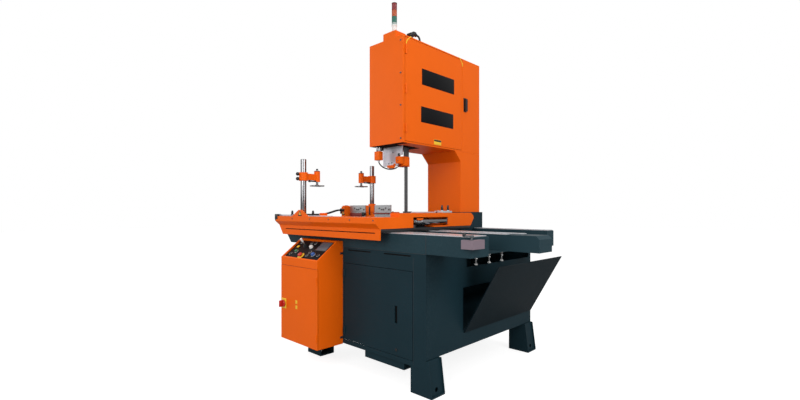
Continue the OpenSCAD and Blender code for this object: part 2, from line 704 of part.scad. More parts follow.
module wheel_carrier() color("gray") {
    block([-hx + sheet_t + 2, wheel_y - 52 + slip, upper_z - 70], [-60, wheel_y + 52 - slip, upper_z + 70]);
    rod([-60, wheel_y, upper_z], 90, 25, "x");
}

// a blade wheel centred on X: rim, web with five holes, and hub
module wheel(z, bore) difference() {
    union() {
        rod([-rim_w / 2, wheel_y, z], rim_w, wheel_r, "x");
        rod([-rim_w / 2 - 12, wheel_y, z], rim_w + 24, 70, "x");
    }
    for (sx = [0, 1]) mirror([sx, 0, 0]) difference() {
        rod([8, wheel_y, z], rim_w / 2, wheel_r - 22, "x");
        rod([7, wheel_y, z], rim_w / 2 + 13, 71, "x");
    }
    for (k = [0:4]) translate([0, wheel_y, z]) rotate([k * 72, 0, 0])
        rod([-20, 190, 0], 40, 75, "x");
    if (bore > 0) rod([-60, wheel_y, z], 120, bore, "x");
}

module upper_wheel() color("gray") wheel(upper_z, 25 + run);
module lower_wheel() color("gray") {
    wheel(lower_z, 0);
    rod([-housing_x - 55, wheel_y, lower_z], housing_x + 40, 30, "x");
}

// the blade: straight return leg, half turns round the wheels, and a cutting leg twisted a quarter turn
twist_len = 260;
leg_low = lower_z + 36;
leg_high = upper_z - 180;
module blade_band(h) translate([-blade_w / 2, -blade_t / 2, 0]) cube([blade_w, blade_t, h]);
module half_turn(z, up) translate([0, wheel_y, z]) rotate([0, 90, 0]) rotate([0, 0, up ? 90 : -90])
    rotate_extrude(angle = 180, $fn = 180)
    translate([wheel_r + slip, -blade_w / 2]) square([blade_t, blade_w]);
module saw_blade() color("silver") {
    translate([0, return_y, lower_z]) blade_band(upper_z - lower_z);
    half_turn(upper_z, true);
    half_turn(lower_z, false);
    translate([0, blade_y, lower_z]) blade_band(leg_low - lower_z);
    translate([0, blade_y, leg_high]) blade_band(upper_z - leg_high);
    translate([0, blade_y, leg_low]) linear_extrude(twist_len, twist = 90, slices = 12, segments = 4)
        square([blade_w, blade_t], center = true);
    translate([0, blade_y, leg_high - twist_len])
        linear_extrude(twist_len, twist = -90, slices = 12, segments = 4)
        square([blade_t, blade_w], center = true);
    translate([-blade_t / 2, blade_y - blade_w / 2, leg_low + twist_len])
        cube([blade_t, blade_w, leg_high - leg_low - 2 * twist_len]);
}

guide_travel = 340;
module guide_carriage() color("silver") {
    difference() {
        block([-160, guide_y - 6, 1626], [69, guide_y + 6, 1850]);
        // the lower right corner is cut away beside the guide block
        block([16, guide_y - 7, 1625], [70, guide_y + 7, 1712]);
    }
    block([-160, guide_y - 6, 1850], [-50, guide_y + 14, 2300]);
    block([-60, guide_y + 6, 1640], [-20, guide_front, 1690]);
}

module guide_blocks() {
    color("orangered") difference() {
        block([-60, guide_front, 1624], [22, blade_y + 22, 1704]);
        block([-2.5, guide_front + 15, 1623], [2.5, blade_y + 23, 1705]);
    }
    color("orangered") difference() {
        block([-150, -450, 1672], [-90, -405, 1745]);
        rod([-117, -406, 1710], 2, 9, "y");
    }
    color("orangered") block([-110, guide_y - 26, 1610], [-30, guide_y - 6, 1650]);
    color("silver") rod([-117, -406, 1710], 406 + guide_y - 6, 9, "y");
    color("silver") block([14, blade_y - 20, 1704], [20, blade_y + 16, 1786]);
}

module coolant_hose() color("black") hose(coolant_route, 5, 10);

module slide_block() color("silver") {
    block([bar_in + 5, -123, 1230 + slip], [vise_right - 4, -3, 1245]);
    for (y = [-105, -25]) translate([vise_right - 30, y, 1245]) cylinder(h = 40, r1 = 12, r2 = 7);
}

base_legs();
floor_pan();
front_wall();
rear_walls();
right_wall();
deck_plate();
front_bed_bar();
bed_frames();
wear_strips();
jack_screws();
linear_rails();
coolant_tank();
feed_cylinder();
chip_chute();
vise_box();
front_post();
side_beam();
side_roller();
hose_manifold();
clamp_hoses();
jaw_slideway();
jaw_cylinder();
work_stop();
stop_lever();
cabinet_shell();
cabinet_door();
console_panel();
estop_button();
start_button();
speed_knob();
pressure_knob();
joystick();
main_switch();
access_door();
chip_flap();
saddle();
column();
head_shell();
head_door();
door_latch();
stack_lamp();
lower_housing();
gear_motor();
feed_rod();
head_ways();
wheel_carrier();
upper_wheel();
lower_wheel();
saw_blade();
guide_carriage();
guide_blocks();
coolant_hose();
front_arm();
front_pad();
rear_jaw();
jaw_plates();
jaw_bars();
rear_arm();
rear_pad();
slide_block();
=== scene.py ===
"""Visual model of a vertical column band saw on a box base.

Sizes are in millimetres in the saw's own frame: origin on the floor at the centre of the
anchor holes, +X the operator's right, -Y the operator's side and +Z up. They turn into
metres when a piece is finished.
"""
from __future__ import annotations

import json
import logging
import math
from dataclasses import dataclass
from enum import Enum

import bmesh
import bpy
from mathutils import Matrix, Vector

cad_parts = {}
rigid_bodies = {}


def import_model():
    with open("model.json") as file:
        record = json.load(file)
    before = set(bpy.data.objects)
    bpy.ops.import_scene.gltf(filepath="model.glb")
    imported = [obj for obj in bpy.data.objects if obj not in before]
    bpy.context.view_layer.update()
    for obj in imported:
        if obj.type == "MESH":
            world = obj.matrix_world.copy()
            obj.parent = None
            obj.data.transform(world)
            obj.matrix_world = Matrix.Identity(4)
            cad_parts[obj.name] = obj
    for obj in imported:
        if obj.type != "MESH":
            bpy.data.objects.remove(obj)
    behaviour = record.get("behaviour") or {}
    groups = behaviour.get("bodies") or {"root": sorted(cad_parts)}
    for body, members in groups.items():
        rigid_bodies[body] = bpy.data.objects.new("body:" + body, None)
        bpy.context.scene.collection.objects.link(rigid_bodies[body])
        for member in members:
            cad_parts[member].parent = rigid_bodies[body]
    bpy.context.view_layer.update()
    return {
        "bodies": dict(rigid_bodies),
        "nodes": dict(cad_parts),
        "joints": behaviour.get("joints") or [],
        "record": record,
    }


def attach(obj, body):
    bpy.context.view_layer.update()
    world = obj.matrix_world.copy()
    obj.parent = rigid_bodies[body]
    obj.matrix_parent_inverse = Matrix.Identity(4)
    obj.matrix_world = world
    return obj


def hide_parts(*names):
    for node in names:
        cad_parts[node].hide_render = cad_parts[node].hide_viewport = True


LOG = logging.getLogger("band_saw")
MM = 0.001
Point = tuple[float, float, float]
Colour = tuple[float, float, float]


class Axis(Enum):
    """The direction a turned shape runs along, as the turn that brings +Z there."""

    X = Matrix.Rotation(math.pi / 2, 4, "Y")
    Y = Matrix.Rotation(-math.pi / 2, 4, "X")
    Z = Matrix.Identity(4)


class Plane(Enum):
    """The plane an outline is drawn in: its two axes and the axis it is extruded along."""

    XZ = (0, 2, 1)
    YZ = (1, 2, 0)
    XY = (0, 1, 2)


def linear(red: int, green: int, blue: int) -> Colour:
    """Turn a display colour into a linear one.

    Args:
        red: Red from 0 to 255.
        green: Green from 0 to 255.
        blue: Blue from 0 to 255.

    Returns:
        The linear colour.
    """
    return tuple(((v / 255 + 0.055) / 1.055) ** 2.4 if v > 10 else v / 3294 for v in (red, green, blue))


# ---------------------------------------------------------------- finishes


@dataclass(frozen=True)
class Finish:
    """A surface finish: a Principled shader with cloudy colour, fine bump and worn edges."""

    name: str
    colour: Colour
    roughness: float = 0.4
    metallic: float = 0.0
    coat: float = 0.0
    specular: float = 0.5
    shade: float = 0.05  # how far the cloudy colour strays from the plain one
    cloud: float = 4.0  # clouds per metre
    bump: float = 0.05
    grain: float = 900.0  # bumps per metre
    stretch: Point = (1.0, 1.0, 1.0)  # squeezes the grain into brush marks
    rough_play: float = 0.06
    wear: float = 0.0
    worn: Colour = (0.30, 0.29, 0.27)
    grime: float = 0.0

    def build(self) -> bpy.types.Material:
        """Make the material once and hand back the same one afterwards."""
        made = bpy.data.materials.get(self.name)
        if made is None:
            made = bpy.data.materials.new(self.name)
            made.use_nodes = True
            made.diffuse_color = (*self.colour, 1.0)
            self.wire(NodeDesk(made.node_tree))
        return made

    def wire(self, desk: "NodeDesk") -> None:
        """Lay out the nodes of the finish.

        Args:
            desk: The desk of the new material.
        """
        shader = desk.shader
        where = desk.add("ShaderNodeTexCoord").outputs["Object"]
        cloud = desk.noise(where, self.cloud, 4.0)
        tint = desk.mix(cloud, self.scaled(1 - self.shade), self.scaled(1 + self.shade))
        if self.grime:
            spots = desk.noise(where, self.cloud * 6, 8.0)
            tint = desk.mix(desk.window(spots, 0.62, 0.80, self.grime), tint, self.scaled(0.35))
        if self.wear:
            sharp = desk.add("ShaderNodeNewGeometry").outputs["Pointiness"]
            chips = desk.noise(where, 60.0, 6.0)
            rim = desk.math("MULTIPLY", desk.window(sharp, 0.56, 0.66, self.wear), desk.window(chips, 0.45, 0.6, 1.0))
            tint = desk.mix(rim, tint, self.worn)
        desk.join(tint, shader.inputs["Base Color"])
        brushed = desk.add("ShaderNodeMapping")
        brushed.inputs["Scale"].default_value = self.stretch
        desk.join(where, brushed.inputs["Vector"])
        grain = desk.noise(brushed.outputs["Vector"], self.grain, 3.0)
        rough = desk.window(grain, 0.3, 0.7, 1.0, self.roughness - self.rough_play, self.roughness + self.rough_play)
        desk.join(rough, shader.inputs["Roughness"])
        shader.inputs["Metallic"].default_value = self.metallic
        shader.inputs["Coat Weight"].default_value = self.coat
        shader.inputs["Coat Roughness"].default_value = 0.18
        shader.inputs["Specular IOR Level"].default_value = self.specular
        bump = desk.add("ShaderNodeBump")
        bump.inputs["Strength"].default_value = self.bump
        bump.inputs["Distance"].default_value = 0.0006
        desk.join(grain, bump.inputs["Height"])
        desk.join(bump.outputs["Normal"], shader.inputs["Normal"])

    def scaled(self, by: float) -> Colour:
        """Return the finish's colour made darker or lighter."""
        return tuple(min(1.0, v * by) for v in self.colour)


@dataclass(frozen=True)
class Lens(Finish):
    """A ribbed coloured lamp lens that glows a little from inside."""

    glow: float = 0.25

    def wire(self, desk: "NodeDesk") -> None:
        """Lay out a plastic finish with a faint glow.

        Args:
            desk: The desk of the new material.
        """
        super().wire(desk)
        shader = desk.shader
        shader.inputs["Emission Color"].default_value = (*self.colour, 1.0)
        shader.inputs["Emission Strength"].default_value = self.glow


@dataclass(frozen=True)
class Striped(Finish):
    """A machined face with milled feed marks across it."""

    pitch: float = 90.0
    across: Point = (1.0, 0.0, 0.0)

    def wire(self, desk: "NodeDesk") -> None:
        """Lay out a metal finish with milled bands in its colour.

        Args:
            desk: The desk of the new material.
        """
        super().wire(desk)
        where = desk.add("ShaderNodeTexCoord").outputs["Object"]
        wave = desk.add("ShaderNodeTexWave")
        wave.inputs["Scale"].default_value = self.pitch
        wave.inputs["Distortion"].default_value = 1.2
        turned = desk.add("ShaderNodeMapping")
        turned.inputs["Scale"].default_value = tuple(max(v, 0.02) for v in self.across)
        desk.join(where, turned.inputs["Vector"])
        desk.join(turned.outputs["Vector"], wave.inputs["Vector"])
        clouds = desk.noise(where, self.cloud, 4.0)
        both = desk.math("MULTIPLY", wave.outputs["Fac"], clouds)
        tint = desk.mix(both, self.scaled(1 - self.shade * 2), self.scaled(1 + self.shade))
        desk.join(tint, desk.shader.inputs["Base Color"])


class NodeDesk:
    """A short way to add and join shader nodes."""

    def __init__(self, tree: bpy.types.NodeTree) -> None:
        """Keep the tree and its Principled shader."""
        self.tree = tree
        self.shader = next(n for n in tree.nodes if n.type == "BSDF_PRINCIPLED")

    def add(self, kind: str) -> bpy.types.Node:
        """Add a node of a kind."""
        return self.tree.nodes.new(kind)

    def join(self, out: bpy.types.NodeSocket, into: bpy.types.NodeSocket) -> None:
        """Link an output to an input."""
        self.tree.links.new(out, into)

    def noise(self, where: bpy.types.NodeSocket, scale: float, detail: float) -> bpy.types.NodeSocket:
        """Add a noise texture.

        Args:
            where: The coordinates it reads.
            scale: Its scale per metre.
            detail: Its octaves.

        Returns:
            The noise's value.
        """
        node = self.add("ShaderNodeTexNoise")
        node.inputs["Scale"].default_value = scale
        node.inputs["Detail"].default_value = detail
        self.join(where, node.inputs["Vector"])
        return node.outputs["Fac"]

    def mix(self, by: bpy.types.NodeSocket, low: object, high: object) -> bpy.types.NodeSocket:
        """Mix two colours.

        Args:
            by: The factor.
            low: The colour or output at 0.
            high: The colour or output at 1.

        Returns:
            The mixed colour.
        """
        node = self.add("ShaderNodeMix")
        node.data_type = "RGBA"
        self.join(by, node.inputs[0])
        for value, socket in ((low, node.inputs[6]), (high, node.inputs[7])):
            if isinstance(value, tuple):
                socket.default_value = (*value, 1.0)
            else:
                self.join(value, socket)
        return node.outputs[2]

    def window(self, value: bpy.types.NodeSocket, lo: float, hi: float, top: float,
               out_lo: float = 0.0, out_hi: float | None = None) -> bpy.types.NodeSocket:
        """Map a value between two limits to an output range.

        Args:
            value: The value to map.
            lo: Where the output starts to rise.
            hi: Where it stops.
            top: The highest output when out_hi isn't given.
            out_lo: The lowest output.
            out_hi: The highest output.

        Returns:
            The mapped value.
        """
        node = self.add("ShaderNodeMapRange")
        for name, number in (("From Min", lo), ("From Max", hi), ("To Min", out_lo),
                             ("To Max", top if out_hi is None else out_hi)):
            node.inputs[name].default_value = number
        self.join(value, node.inputs["Value"])
        return node.outputs["Result"]

    def math(self, how: str, a: bpy.types.NodeSocket, b: bpy.types.NodeSocket) -> bpy.types.NodeSocket:
        """Combine two values with a math operation."""
        node = self.add("ShaderNodeMath")
        node.operation = how
        self.join(a, node.inputs[0])
        self.join(b, node.inputs[1])
        return node.outputs["Value"]


ORANGE = Finish("orange_powder_coat", linear(234, 98, 4), 0.42, specular=0.14, shade=0.035, bump=0.10, grain=420,
                rough_play=0.05, wear=0.35, worn=linear(196, 78, 30), grime=0.05)
DARK = Finish("slate_powder_coat", linear(23, 45, 53), 0.46, specular=0.11, shade=0.12, bump=0.16, grain=520,
              rough_play=0.06, wear=0.3, worn=linear(80, 96, 103), grime=0.12)
# Painted shade: a darker copy of the slate coat for the chip flap, standing in for the shading the flap gets.
FLAP_PAINTED_SHADE = Finish("slate_coat_flap_painted_shade", linear(15, 29, 35), 0.5, specular=0.08, shade=0.10, bump=0.12, grain=520,
                   rough_play=0.05, wear=0.25, worn=linear(70, 84, 90), grime=0.10)
# Painted highlight: a lighter copy of the slate coat for the bed bars, standing in for the light that falls on them
# from above.
BED_PAINTED_LIGHT = Finish("slate_coat_bed_painted_light", linear(34, 57, 65), 0.44, specular=0.12, shade=0.10, bump=0.14, grain=480,
                  rough_play=0.06, wear=0.3, worn=linear(88, 104, 110), grime=0.10)
MACHINED = Striped("machined_steel_face", linear(206, 209, 214), 0.32, metallic=0.45, shade=0.07, bump=0.10,
                   grain=260, stretch=(1.0, 14.0, 1.0), rough_play=0.10, grime=0.10, pitch=22.0)
JAW_STEEL = Striped("ground_jaw_steel", linear(178, 180, 182), 0.34, metallic=0.8, shade=0.08, bump=0.12,
                    grain=240, stretch=(1.0, 1.0, 9.0), rough_play=0.10, grime=0.12, pitch=30.0)
GUIDE_STEEL = Finish("brushed_plate_steel", linear(196, 196, 204), 0.38, metallic=0.55, shade=0.05, bump=0.10,
                     grain=300, stretch=(9.0, 9.0, 1.0), rough_play=0.08, grime=0.05)
CHROME = Finish("hard_chromed_bar", linear(150, 150, 152), 0.20, metallic=1.0, shade=0.02, bump=0.02, grain=700,
                stretch=(1.0, 1.0, 6.0), rough_play=0.04)
CAST = Finish("grey_cast_iron", linear(92, 95, 98), 0.55, metallic=0.35, shade=0.12, bump=0.30, grain=300,
              rough_play=0.10, grime=0.2)
BLADE = Finish("band_blade_steel", linear(112, 114, 116), 0.33, metallic=0.9, shade=0.08, bump=0.05, grain=220,
               stretch=(1.0, 1.0, 0.12), rough_play=0.10)
RUBBER = Finish("black_hose_rubber", linear(24, 24, 26), 0.55, shade=0.15, bump=0.2, grain=1200, specular=0.4)
BLACK = Finish("black_moulded_plastic", linear(22, 22, 24), 0.36, shade=0.12, bump=0.15, grain=1400)
PANEL = Finish("black_panel_sheet", linear(14, 14, 16), 0.4, specular=0.12, shade=0.10, bump=0.06, grain=800)
RED = Finish("red_button_plastic", linear(190, 34, 26), 0.30, shade=0.06, bump=0.04, grain=900, coat=0.2)
RED_DARK = Finish("dark_red_strip", linear(120, 34, 30), 0.45, shade=0.12, bump=0.1, grain=700)
GREEN = Finish("green_button_plastic", linear(28, 122, 70), 0.30, shade=0.06, bump=0.04, grain=900, coat=0.2)
WHITE = Finish("white_plastic", linear(226, 226, 222), 0.35, shade=0.03, bump=0.04, grain=900)
YELLOW = Finish("yellow_plastic", linear(238, 190, 40), 0.38, shade=0.04, bump=0.04, grain=900)
BLUE = Finish("blue_knob_plastic", linear(52, 96, 168), 0.32, shade=0.06, bump=0.04, grain=900, coat=0.2)
SCREEN = Finish("grey_display_film", linear(92, 96, 104), 0.22, shade=0.10, bump=0.02, grain=400)
SILVER = Finish("bright_zinc", linear(178, 178, 178), 0.28, metallic=0.8, shade=0.05, bump=0.06, grain=500,
                rough_play=0.08)
STOP = Finish("primed_stop_casting", linear(128, 112, 122), 0.58, metallic=0.15, shade=0.14, bump=0.35, grain=260,
              rough_play=0.10, grime=0.3)
LAMP_BODY = Finish("lamp_body_plastic", linear(222, 220, 216), 0.34, shade=0.03, bump=0.03, grain=900)
LENS_CLEAR = Lens("clear_lens", linear(150, 165, 160), 0.20, shade=0.05, bump=0.02, glow=0.05)
LENS_GREEN = Lens("green_lens", linear(16, 96, 80), 0.20, shade=0.06, bump=0.02, glow=0.06)
LENS_AMBER = Lens("amber_lens", linear(168, 72, 28), 0.20, shade=0.06, bump=0.02, glow=0.06)
LENS_RED = Lens("red_lens", linear(122, 22, 30), 0.20, shade=0.06, bump=0.02, glow=0.06)
# Painted shadow: a near-black finish laid into grooves, slots and openings where only shade falls.
SHADOW = Finish("painted_gap_shadow", linear(12, 12, 13), 0.8, shade=0.1, bump=0.05, specular=0.1)
SEAM = Finish("painted_seam", linear(26, 36, 42), 0.55, shade=0.1, bump=0.08, grain=600)
ORANGE_SEAM = Finish("orange_seam_shadow", linear(168, 62, 12), 0.5, shade=0.08, bump=0.08, grain=600)


@dataclass(frozen=True)
class Floor(Lens):
    """A pale floor that looks white and throws little light back up."""

    def wire(self, desk: "NodeDesk") -> None:
        """Lay out the floor, which glows only where it is looked at.

        Args:
            desk: The desk of the new material.
        """
        super().wire(desk)
        seen = desk.add("ShaderNodeLightPath").outputs["Is Camera Ray"]
        desk.join(desk.window(seen, 0.0, 1.0, self.glow), desk.shader.inputs["Emission Strength"])
        desk.shader.inputs["Emission Color"].default_value = (1.0, 1.0, 1.0, 1.0)


FLOOR = Floor("pale_studio_floor", linear(165, 165, 165), 0.7, shade=0.004, bump=0.0, rough_play=0.02,
              specular=0.1, glow=0.85)


# ---------------------------------------------------------------- shapes


class Shape:
    """One mesh under construction with bmesh operators, in millimetres."""

    def __init__(self, name: str) -> None:
        """Start an empty mesh.

        Args:
            name: The name of the piece it becomes.
        """
        self.name = name
        self.mesh = bmesh.new()

    def block(self, lo: Point, hi: Point, bevel: float = 0.8, segments: int = 2,
              turn: Matrix | None = None) -> "Shape":
        """Add a block between two corners.

        Args:
            lo: The lowest corner.
            hi: The highest corner.
            bevel: The width of its rounded edges.
            segments: The facets of an edge.
            turn: A matrix that places it after it is made.

        Returns:
            This shape.
        """
        made = bmesh.ops.create_cube(self.mesh, size=1.0)["verts"]
        size = Vector(hi) - Vector(lo)
        middle = (Vector(hi) + Vector(lo)) / 2
        bmesh.ops.transform(self.mesh, verts=made, matrix=Matrix.Translation(middle) @ Matrix.Diagonal((*size, 1)))
        if bevel:
            made = self.round(made, min(bevel, min(size) * 0.45), segments)
        return self.place(made, turn)

    def round(self, verts: list[bmesh.types.BMVert], width: float, segments: int = 2) -> list[bmesh.types.BMVert]:
        """Round all edges of some vertices.

        Args:
            verts: The vertices of a closed shape.
            width: The width of the rounding.
            segments: Its facets.

        Returns:
            The vertices of the shape afterwards.
        """
        before = set(self.mesh.verts) - set(verts)
        edges = list({e for v in verts for e in v.link_edges})
        bmesh.ops.bevel(self.mesh, geom=edges, offset=width, segments=segments, profile=0.5, affect="EDGES",
                        material=-1)
        return [v for v in self.mesh.verts if v not in before]

    def place(self, verts: list[bmesh.types.BMVert], turn: Matrix | None) -> "Shape":
        """Turn and move some vertices, and hand back this shape."""
        if turn is not None:
            bmesh.ops.transform(self.mesh, verts=verts, matrix=turn)
        return self

    def prism(self, outline: list[tuple[float, float]], plane: Plane, lo: float, hi: float, bevel: float = 0.8,
              turn: Matrix | None = None) -> "Shape":
        """Extrude an outline.

        Args:
            outline: Its corners in the plane.
            plane: The plane it is drawn in.
            lo: Where the extrusion starts.
            hi: Where it ends.
            bevel: The width of its rounded edges.
            turn: A matrix that places it after it is made.

        Returns:
            This shape.
        """
        first, second, along = plane.value
        before = set(self.mesh.verts)
        corners = []
        for a, b in outline:
            spot = [0.0, 0.0, 0.0]
            spot[first], spot[second], spot[along] = a, b, lo
            corners.append(self.mesh.verts.new(spot))
        face = self.mesh.faces.new(corners)
        grown = bmesh.ops.extrude_face_region(self.mesh, geom=[face])["geom"]
        step = [0.0, 0.0, 0.0]
        step[along] = hi - lo
        bmesh.ops.translate(self.mesh, verts=[v for v in grown if isinstance(v, bmesh.types.BMVert)], vec=step)
        made = [v for v in self.mesh.verts if v not in before]
        bmesh.ops.recalc_face_normals(self.mesh, faces=list({f for v in made for f in v.link_faces}))
        if bevel:
            made = self.round(made, bevel)
        return self.place(made, turn)

    def turned(self, profile: list[tuple[float, float]], at: Point, axis: Axis = Axis.Z, steps: int = 32,
               turn: Matrix | None = None, ring: bool = False) -> "Shape":
        """Spin a profile round an axis.

        Args:
            profile: Radius and height pairs, from the bottom to the top.
            at: The foot of the axis.
            axis: Its direction.
            steps: The facets round it.
            turn: A matrix that places it after it is made.
            ring: Whether the profile closes on itself and leaves a hole round the axis.

        Returns:
            This shape.
        """
        before = set(self.mesh.verts)
        ends = [] if ring else [(0.0, profile[-1][1]), (0.0, profile[0][1])]
        line = [self.mesh.verts.new((r, 0.0, h)) for r, h in [*ends[1:], *profile, *ends[:1]]]
        if ring:
            line.append(line[0])
        edges = [self.mesh.edges.new((a, b)) for a, b in zip(line, line[1:]) if (a.co - b.co).length > 1e-6]
        bmesh.ops.spin(self.mesh, geom=[*dict.fromkeys(line), *edges], axis=(0, 0, 1), cent=(0, 0, 0),
                       angle=math.tau, steps=steps,
                       use_merge=True)
        made = [v for v in self.mesh.verts if v not in before]
        bmesh.ops.remove_doubles(self.mesh, verts=made, dist=1e-4)
        made = [v for v in self.mesh.verts if v not in before]
        bmesh.ops.recalc_face_normals(self.mesh, faces=list({f for v in made for f in v.link_faces}))
        bmesh.ops.transform(self.mesh, verts=made, matrix=Matrix.Translation(at) @ axis.value)
        return self.place(made, turn)

    def rod(self, at: Point, length: float, radius: float, axis: Axis = Axis.Z, edge: float = 0.8,
            steps: int = 32, turn: Matrix | None = None) -> "Shape":
        """Add a round bar with rounded ends.

        Args:
            at: The middle of its first end.
            length: Its length.
            radius: Its radius.
            axis: Its direction.
            edge: The width of its rounded ends.
            steps: The facets round it.
            turn: A matrix that places it after it is made.

        Returns:
            This shape.
        """
        profile = [(radius - edge, 0), (radius - edge * 0.3, edge * 0.3), (radius, edge),
                   (radius, length - edge), (radius - edge * 0.3, length - edge * 0.3), (radius - edge, length)]
        return self.turned(profile, at, axis, steps, turn)

    def socket_screw(self, at: Point, radius: float, axis: Axis = Axis.Z, out: float = 1.0) -> "Shape":
        """Add a low screw head with a hexagonal socket.

        Args:
            at: The middle of the head's seat.
            radius: The head's radius.
            axis: The axis it points along.
            out: 1 to point along the axis, -1 to point against it.

        Returns:
            This shape.
        """
        high = radius * 0.7 * out
        profile = [(radius * 0.92, 0), (radius, high * 0.2), (radius, high * 0.8), (radius * 0.85, high),
                   (radius * 0.5, high), (radius * 0.46, high * 0.35)]
        return self.turned(profile, at, axis, 12)

    def hex_head(self, at: Point, radius: float, height: float, axis: Axis = Axis.Z) -> "Shape":
        """Add a six-sided nut or bolt head.

        Args:
            at: The middle of its seat.
            radius: Its radius over the corners.
            height: Its height.
            axis: The axis it points along.

        Returns:
            This shape.
        """
        return self.turned([(radius * 0.94, 0), (radius, height * 0.12), (radius, height * 0.85),
                            (radius * 0.88, height)], at, axis, 6)

    def piece(self, body: str, finish: Finish, slot: str | None = None, replaces: tuple[str, ...] = (),
              flat: bool = False) -> bpy.types.Object:
        """Finish the mesh as a piece of the model.

        Args:
            body: The body it rides on.
            finish: Its finish.
            slot: The material slot it stands for.
            replaces: The CAD nodes it stands for.
            flat: Whether its faces are shaded flat.

        Returns:
            The piece's object.
        """
        bmesh.ops.scale(self.mesh, verts=self.mesh.verts, vec=(MM, MM, MM))
        data = bpy.data.meshes.new(self.name)
        self.mesh.to_mesh(data)
        self.mesh.free()
        made = bpy.data.objects.new(self.name, data)
        bpy.context.scene.collection.objects.link(made)
        if not flat:
            data.polygons.foreach_set("use_smooth", [True] * len(data.polygons))
            shade_by_angle(made)
        data.materials.append(finish.build())
        return dress(made, body, slot, replaces)


def dress(made: bpy.types.Object, body: str, slot: str | None, replaces: tuple[str, ...]) -> bpy.types.Object:
    """Tell the frame what a piece rides on and stands for.

    Args:
        made: The piece.
        body: The body it rides on.
        slot: The material slot it stands for; not used.
        replaces: The CAD nodes it stands for.

    Returns:
        The piece.
    """
    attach(made, body)
    if replaces:
        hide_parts(*replaces)
    LOG.info("piece %s rides on %s", made.name, body)
    return made


def angle_group() -> bpy.types.NodeTree:
    """Return the node group that shades smooth except over sharp edges."""
    name = "shade_by_angle"
    group = bpy.data.node_groups.get(name)
    if group:
        return group
    group = bpy.data.node_groups.new(name, "GeometryNodeTree")
    for way in ("INPUT", "OUTPUT"):
        group.interface.new_socket("Geometry", in_out=way, socket_type="NodeSocketGeometry")
    add, join = group.nodes.new, group.links.new
    start, end = add("NodeGroupInput"), add("NodeGroupOutput")
    smooth, sharp = add("GeometryNodeSetShadeSmooth"), add("GeometryNodeSetShadeSmooth")
    sharp.domain = "EDGE"
    angle, test = add("GeometryNodeInputMeshEdgeAngle"), add("FunctionNodeCompare")
    test.operation = "GREATER_THAN"
    test.inputs["B"].default_value = math.radians(32)
    join(angle.outputs["Unsigned Angle"], test.inputs["A"])
    join(test.outputs["Result"], sharp.inputs["Selection"])
    sharp.inputs["Shade Smooth"].default_value = False
    join(start.outputs[0], smooth.inputs["Geometry"])
    join(smooth.outputs["Geometry"], sharp.inputs["Geometry"])
    join(sharp.outputs["Geometry"], end.inputs[0])
    return group


def shade_by_angle(made: bpy.types.Object) -> None:
    """Shade an object smooth except over its sharp edges."""
    made.modifiers.new("shading", "NODES").node_group = angle_group()


def soften(made: bpy.types.Object, width: float) -> None:
    """Round the edges of a CAD node with modifiers alone.

    Args:
        made: The CAD node's object.
        width: The width of its rounded edges.
    """
    weld = made.modifiers.new("weld", "WELD")
    weld.merge_threshold = 2e-5
    merge = made.modifiers.new("merge", "DECIMATE")
    merge.decimate_type = "DISSOLVE"
    merge.angle_limit = math.radians(0.6)
    if width:
        bevel = made.modifiers.new("edges", "BEVEL")
        bevel.width = width * MM
        bevel.segments = 2
        bevel.limit_method = "ANGLE"
        bevel.angle_limit = math.radians(32)
        bevel.harden_normals = False
    shade_by_angle(made)
    flatten = made.modifiers.new("flat_faces", "WEIGHTED_NORMAL")
    flatten.keep_sharp = True
    flatten.weight = 80


# ---------------------------------------------------------------- sub-assemblies


@dataclass
class Carried:
    """The CAD nodes that are shown as they are, with their finish and edge rounding."""

    finishes: dict[Finish, tuple[str, ...]]
    rounding: float = 2.0

    def build(self, nodes: dict[str, bpy.types.Object]) -> None:
        """Give each node its finish and soft edges.

        Args:
            nodes: The frame's nodes by name.
        """
        for finish, names in self.finishes.items():
            for name in names:
                made = nodes[name]
                made.data.materials.clear()
                made.data.materials.append(finish.build())
                soften(made, self.rounding)


CARRIED = Carried({
    ORANGE: ("vise_box", "side_beam", "rear_jaw", "cabinet_shell", "cabinet_door", "column", "head_shell",
             "head_door", "front_arm", "rear_arm", "hose_manifold"),
    BED_PAINTED_LIGHT: ("front_bed_bar", "bed_frames"),
    DARK: ("base_legs", "floor_pan", "front_wall", "rear_walls", "right_wall", "deck_plate", "access_door",
           "saddle", "lower_housing", "coolant_tank", "chip_chute"),
    FLAP_PAINTED_SHADE: ("chip_flap",),
    MACHINED: ("wear_strips", "linear_rails", "jaw_slideway", "slide_block"),
    JAW_STEEL: ("jaw_plates",),
    GUIDE_STEEL: ("guide_carriage",),
    CHROME: ("feed_rod",),
    CAST: ("feed_cylinder", "jaw_cylinder", "gear_motor", "head_ways", "wheel_carrier", "upper_wheel",
           "lower_wheel"),
    BLADE: ("saw_blade",),
    STOP: ("work_stop",),
    PANEL: ("console_panel",),
    BLACK: ("door_latch",),
})


def ball_knob(shape: Shape, at: Point, radius: float, axis: Axis, out: float = 1.0) -> Shape:
    """Add a round clamp knob on a short neck.

    Args:
        shape: The shape it is added to.
        at: The foot of its neck.
        radius: The knob's radius.
        axis: The axis it stands along.
        out: 1 to stand along the axis, -1 to stand against it.

    Returns:
        The shape.
    """
    neck = radius * 0.55
    profile = [(neck, 0), (neck, radius * 0.5 * out)]
    for step in range(9):
        angle = math.radians(-60 + step * 18)
        profile.append((radius * math.cos(angle), out * radius * (1.35 + math.sin(angle))))
    return shape.turned(profile, at, axis, 24)


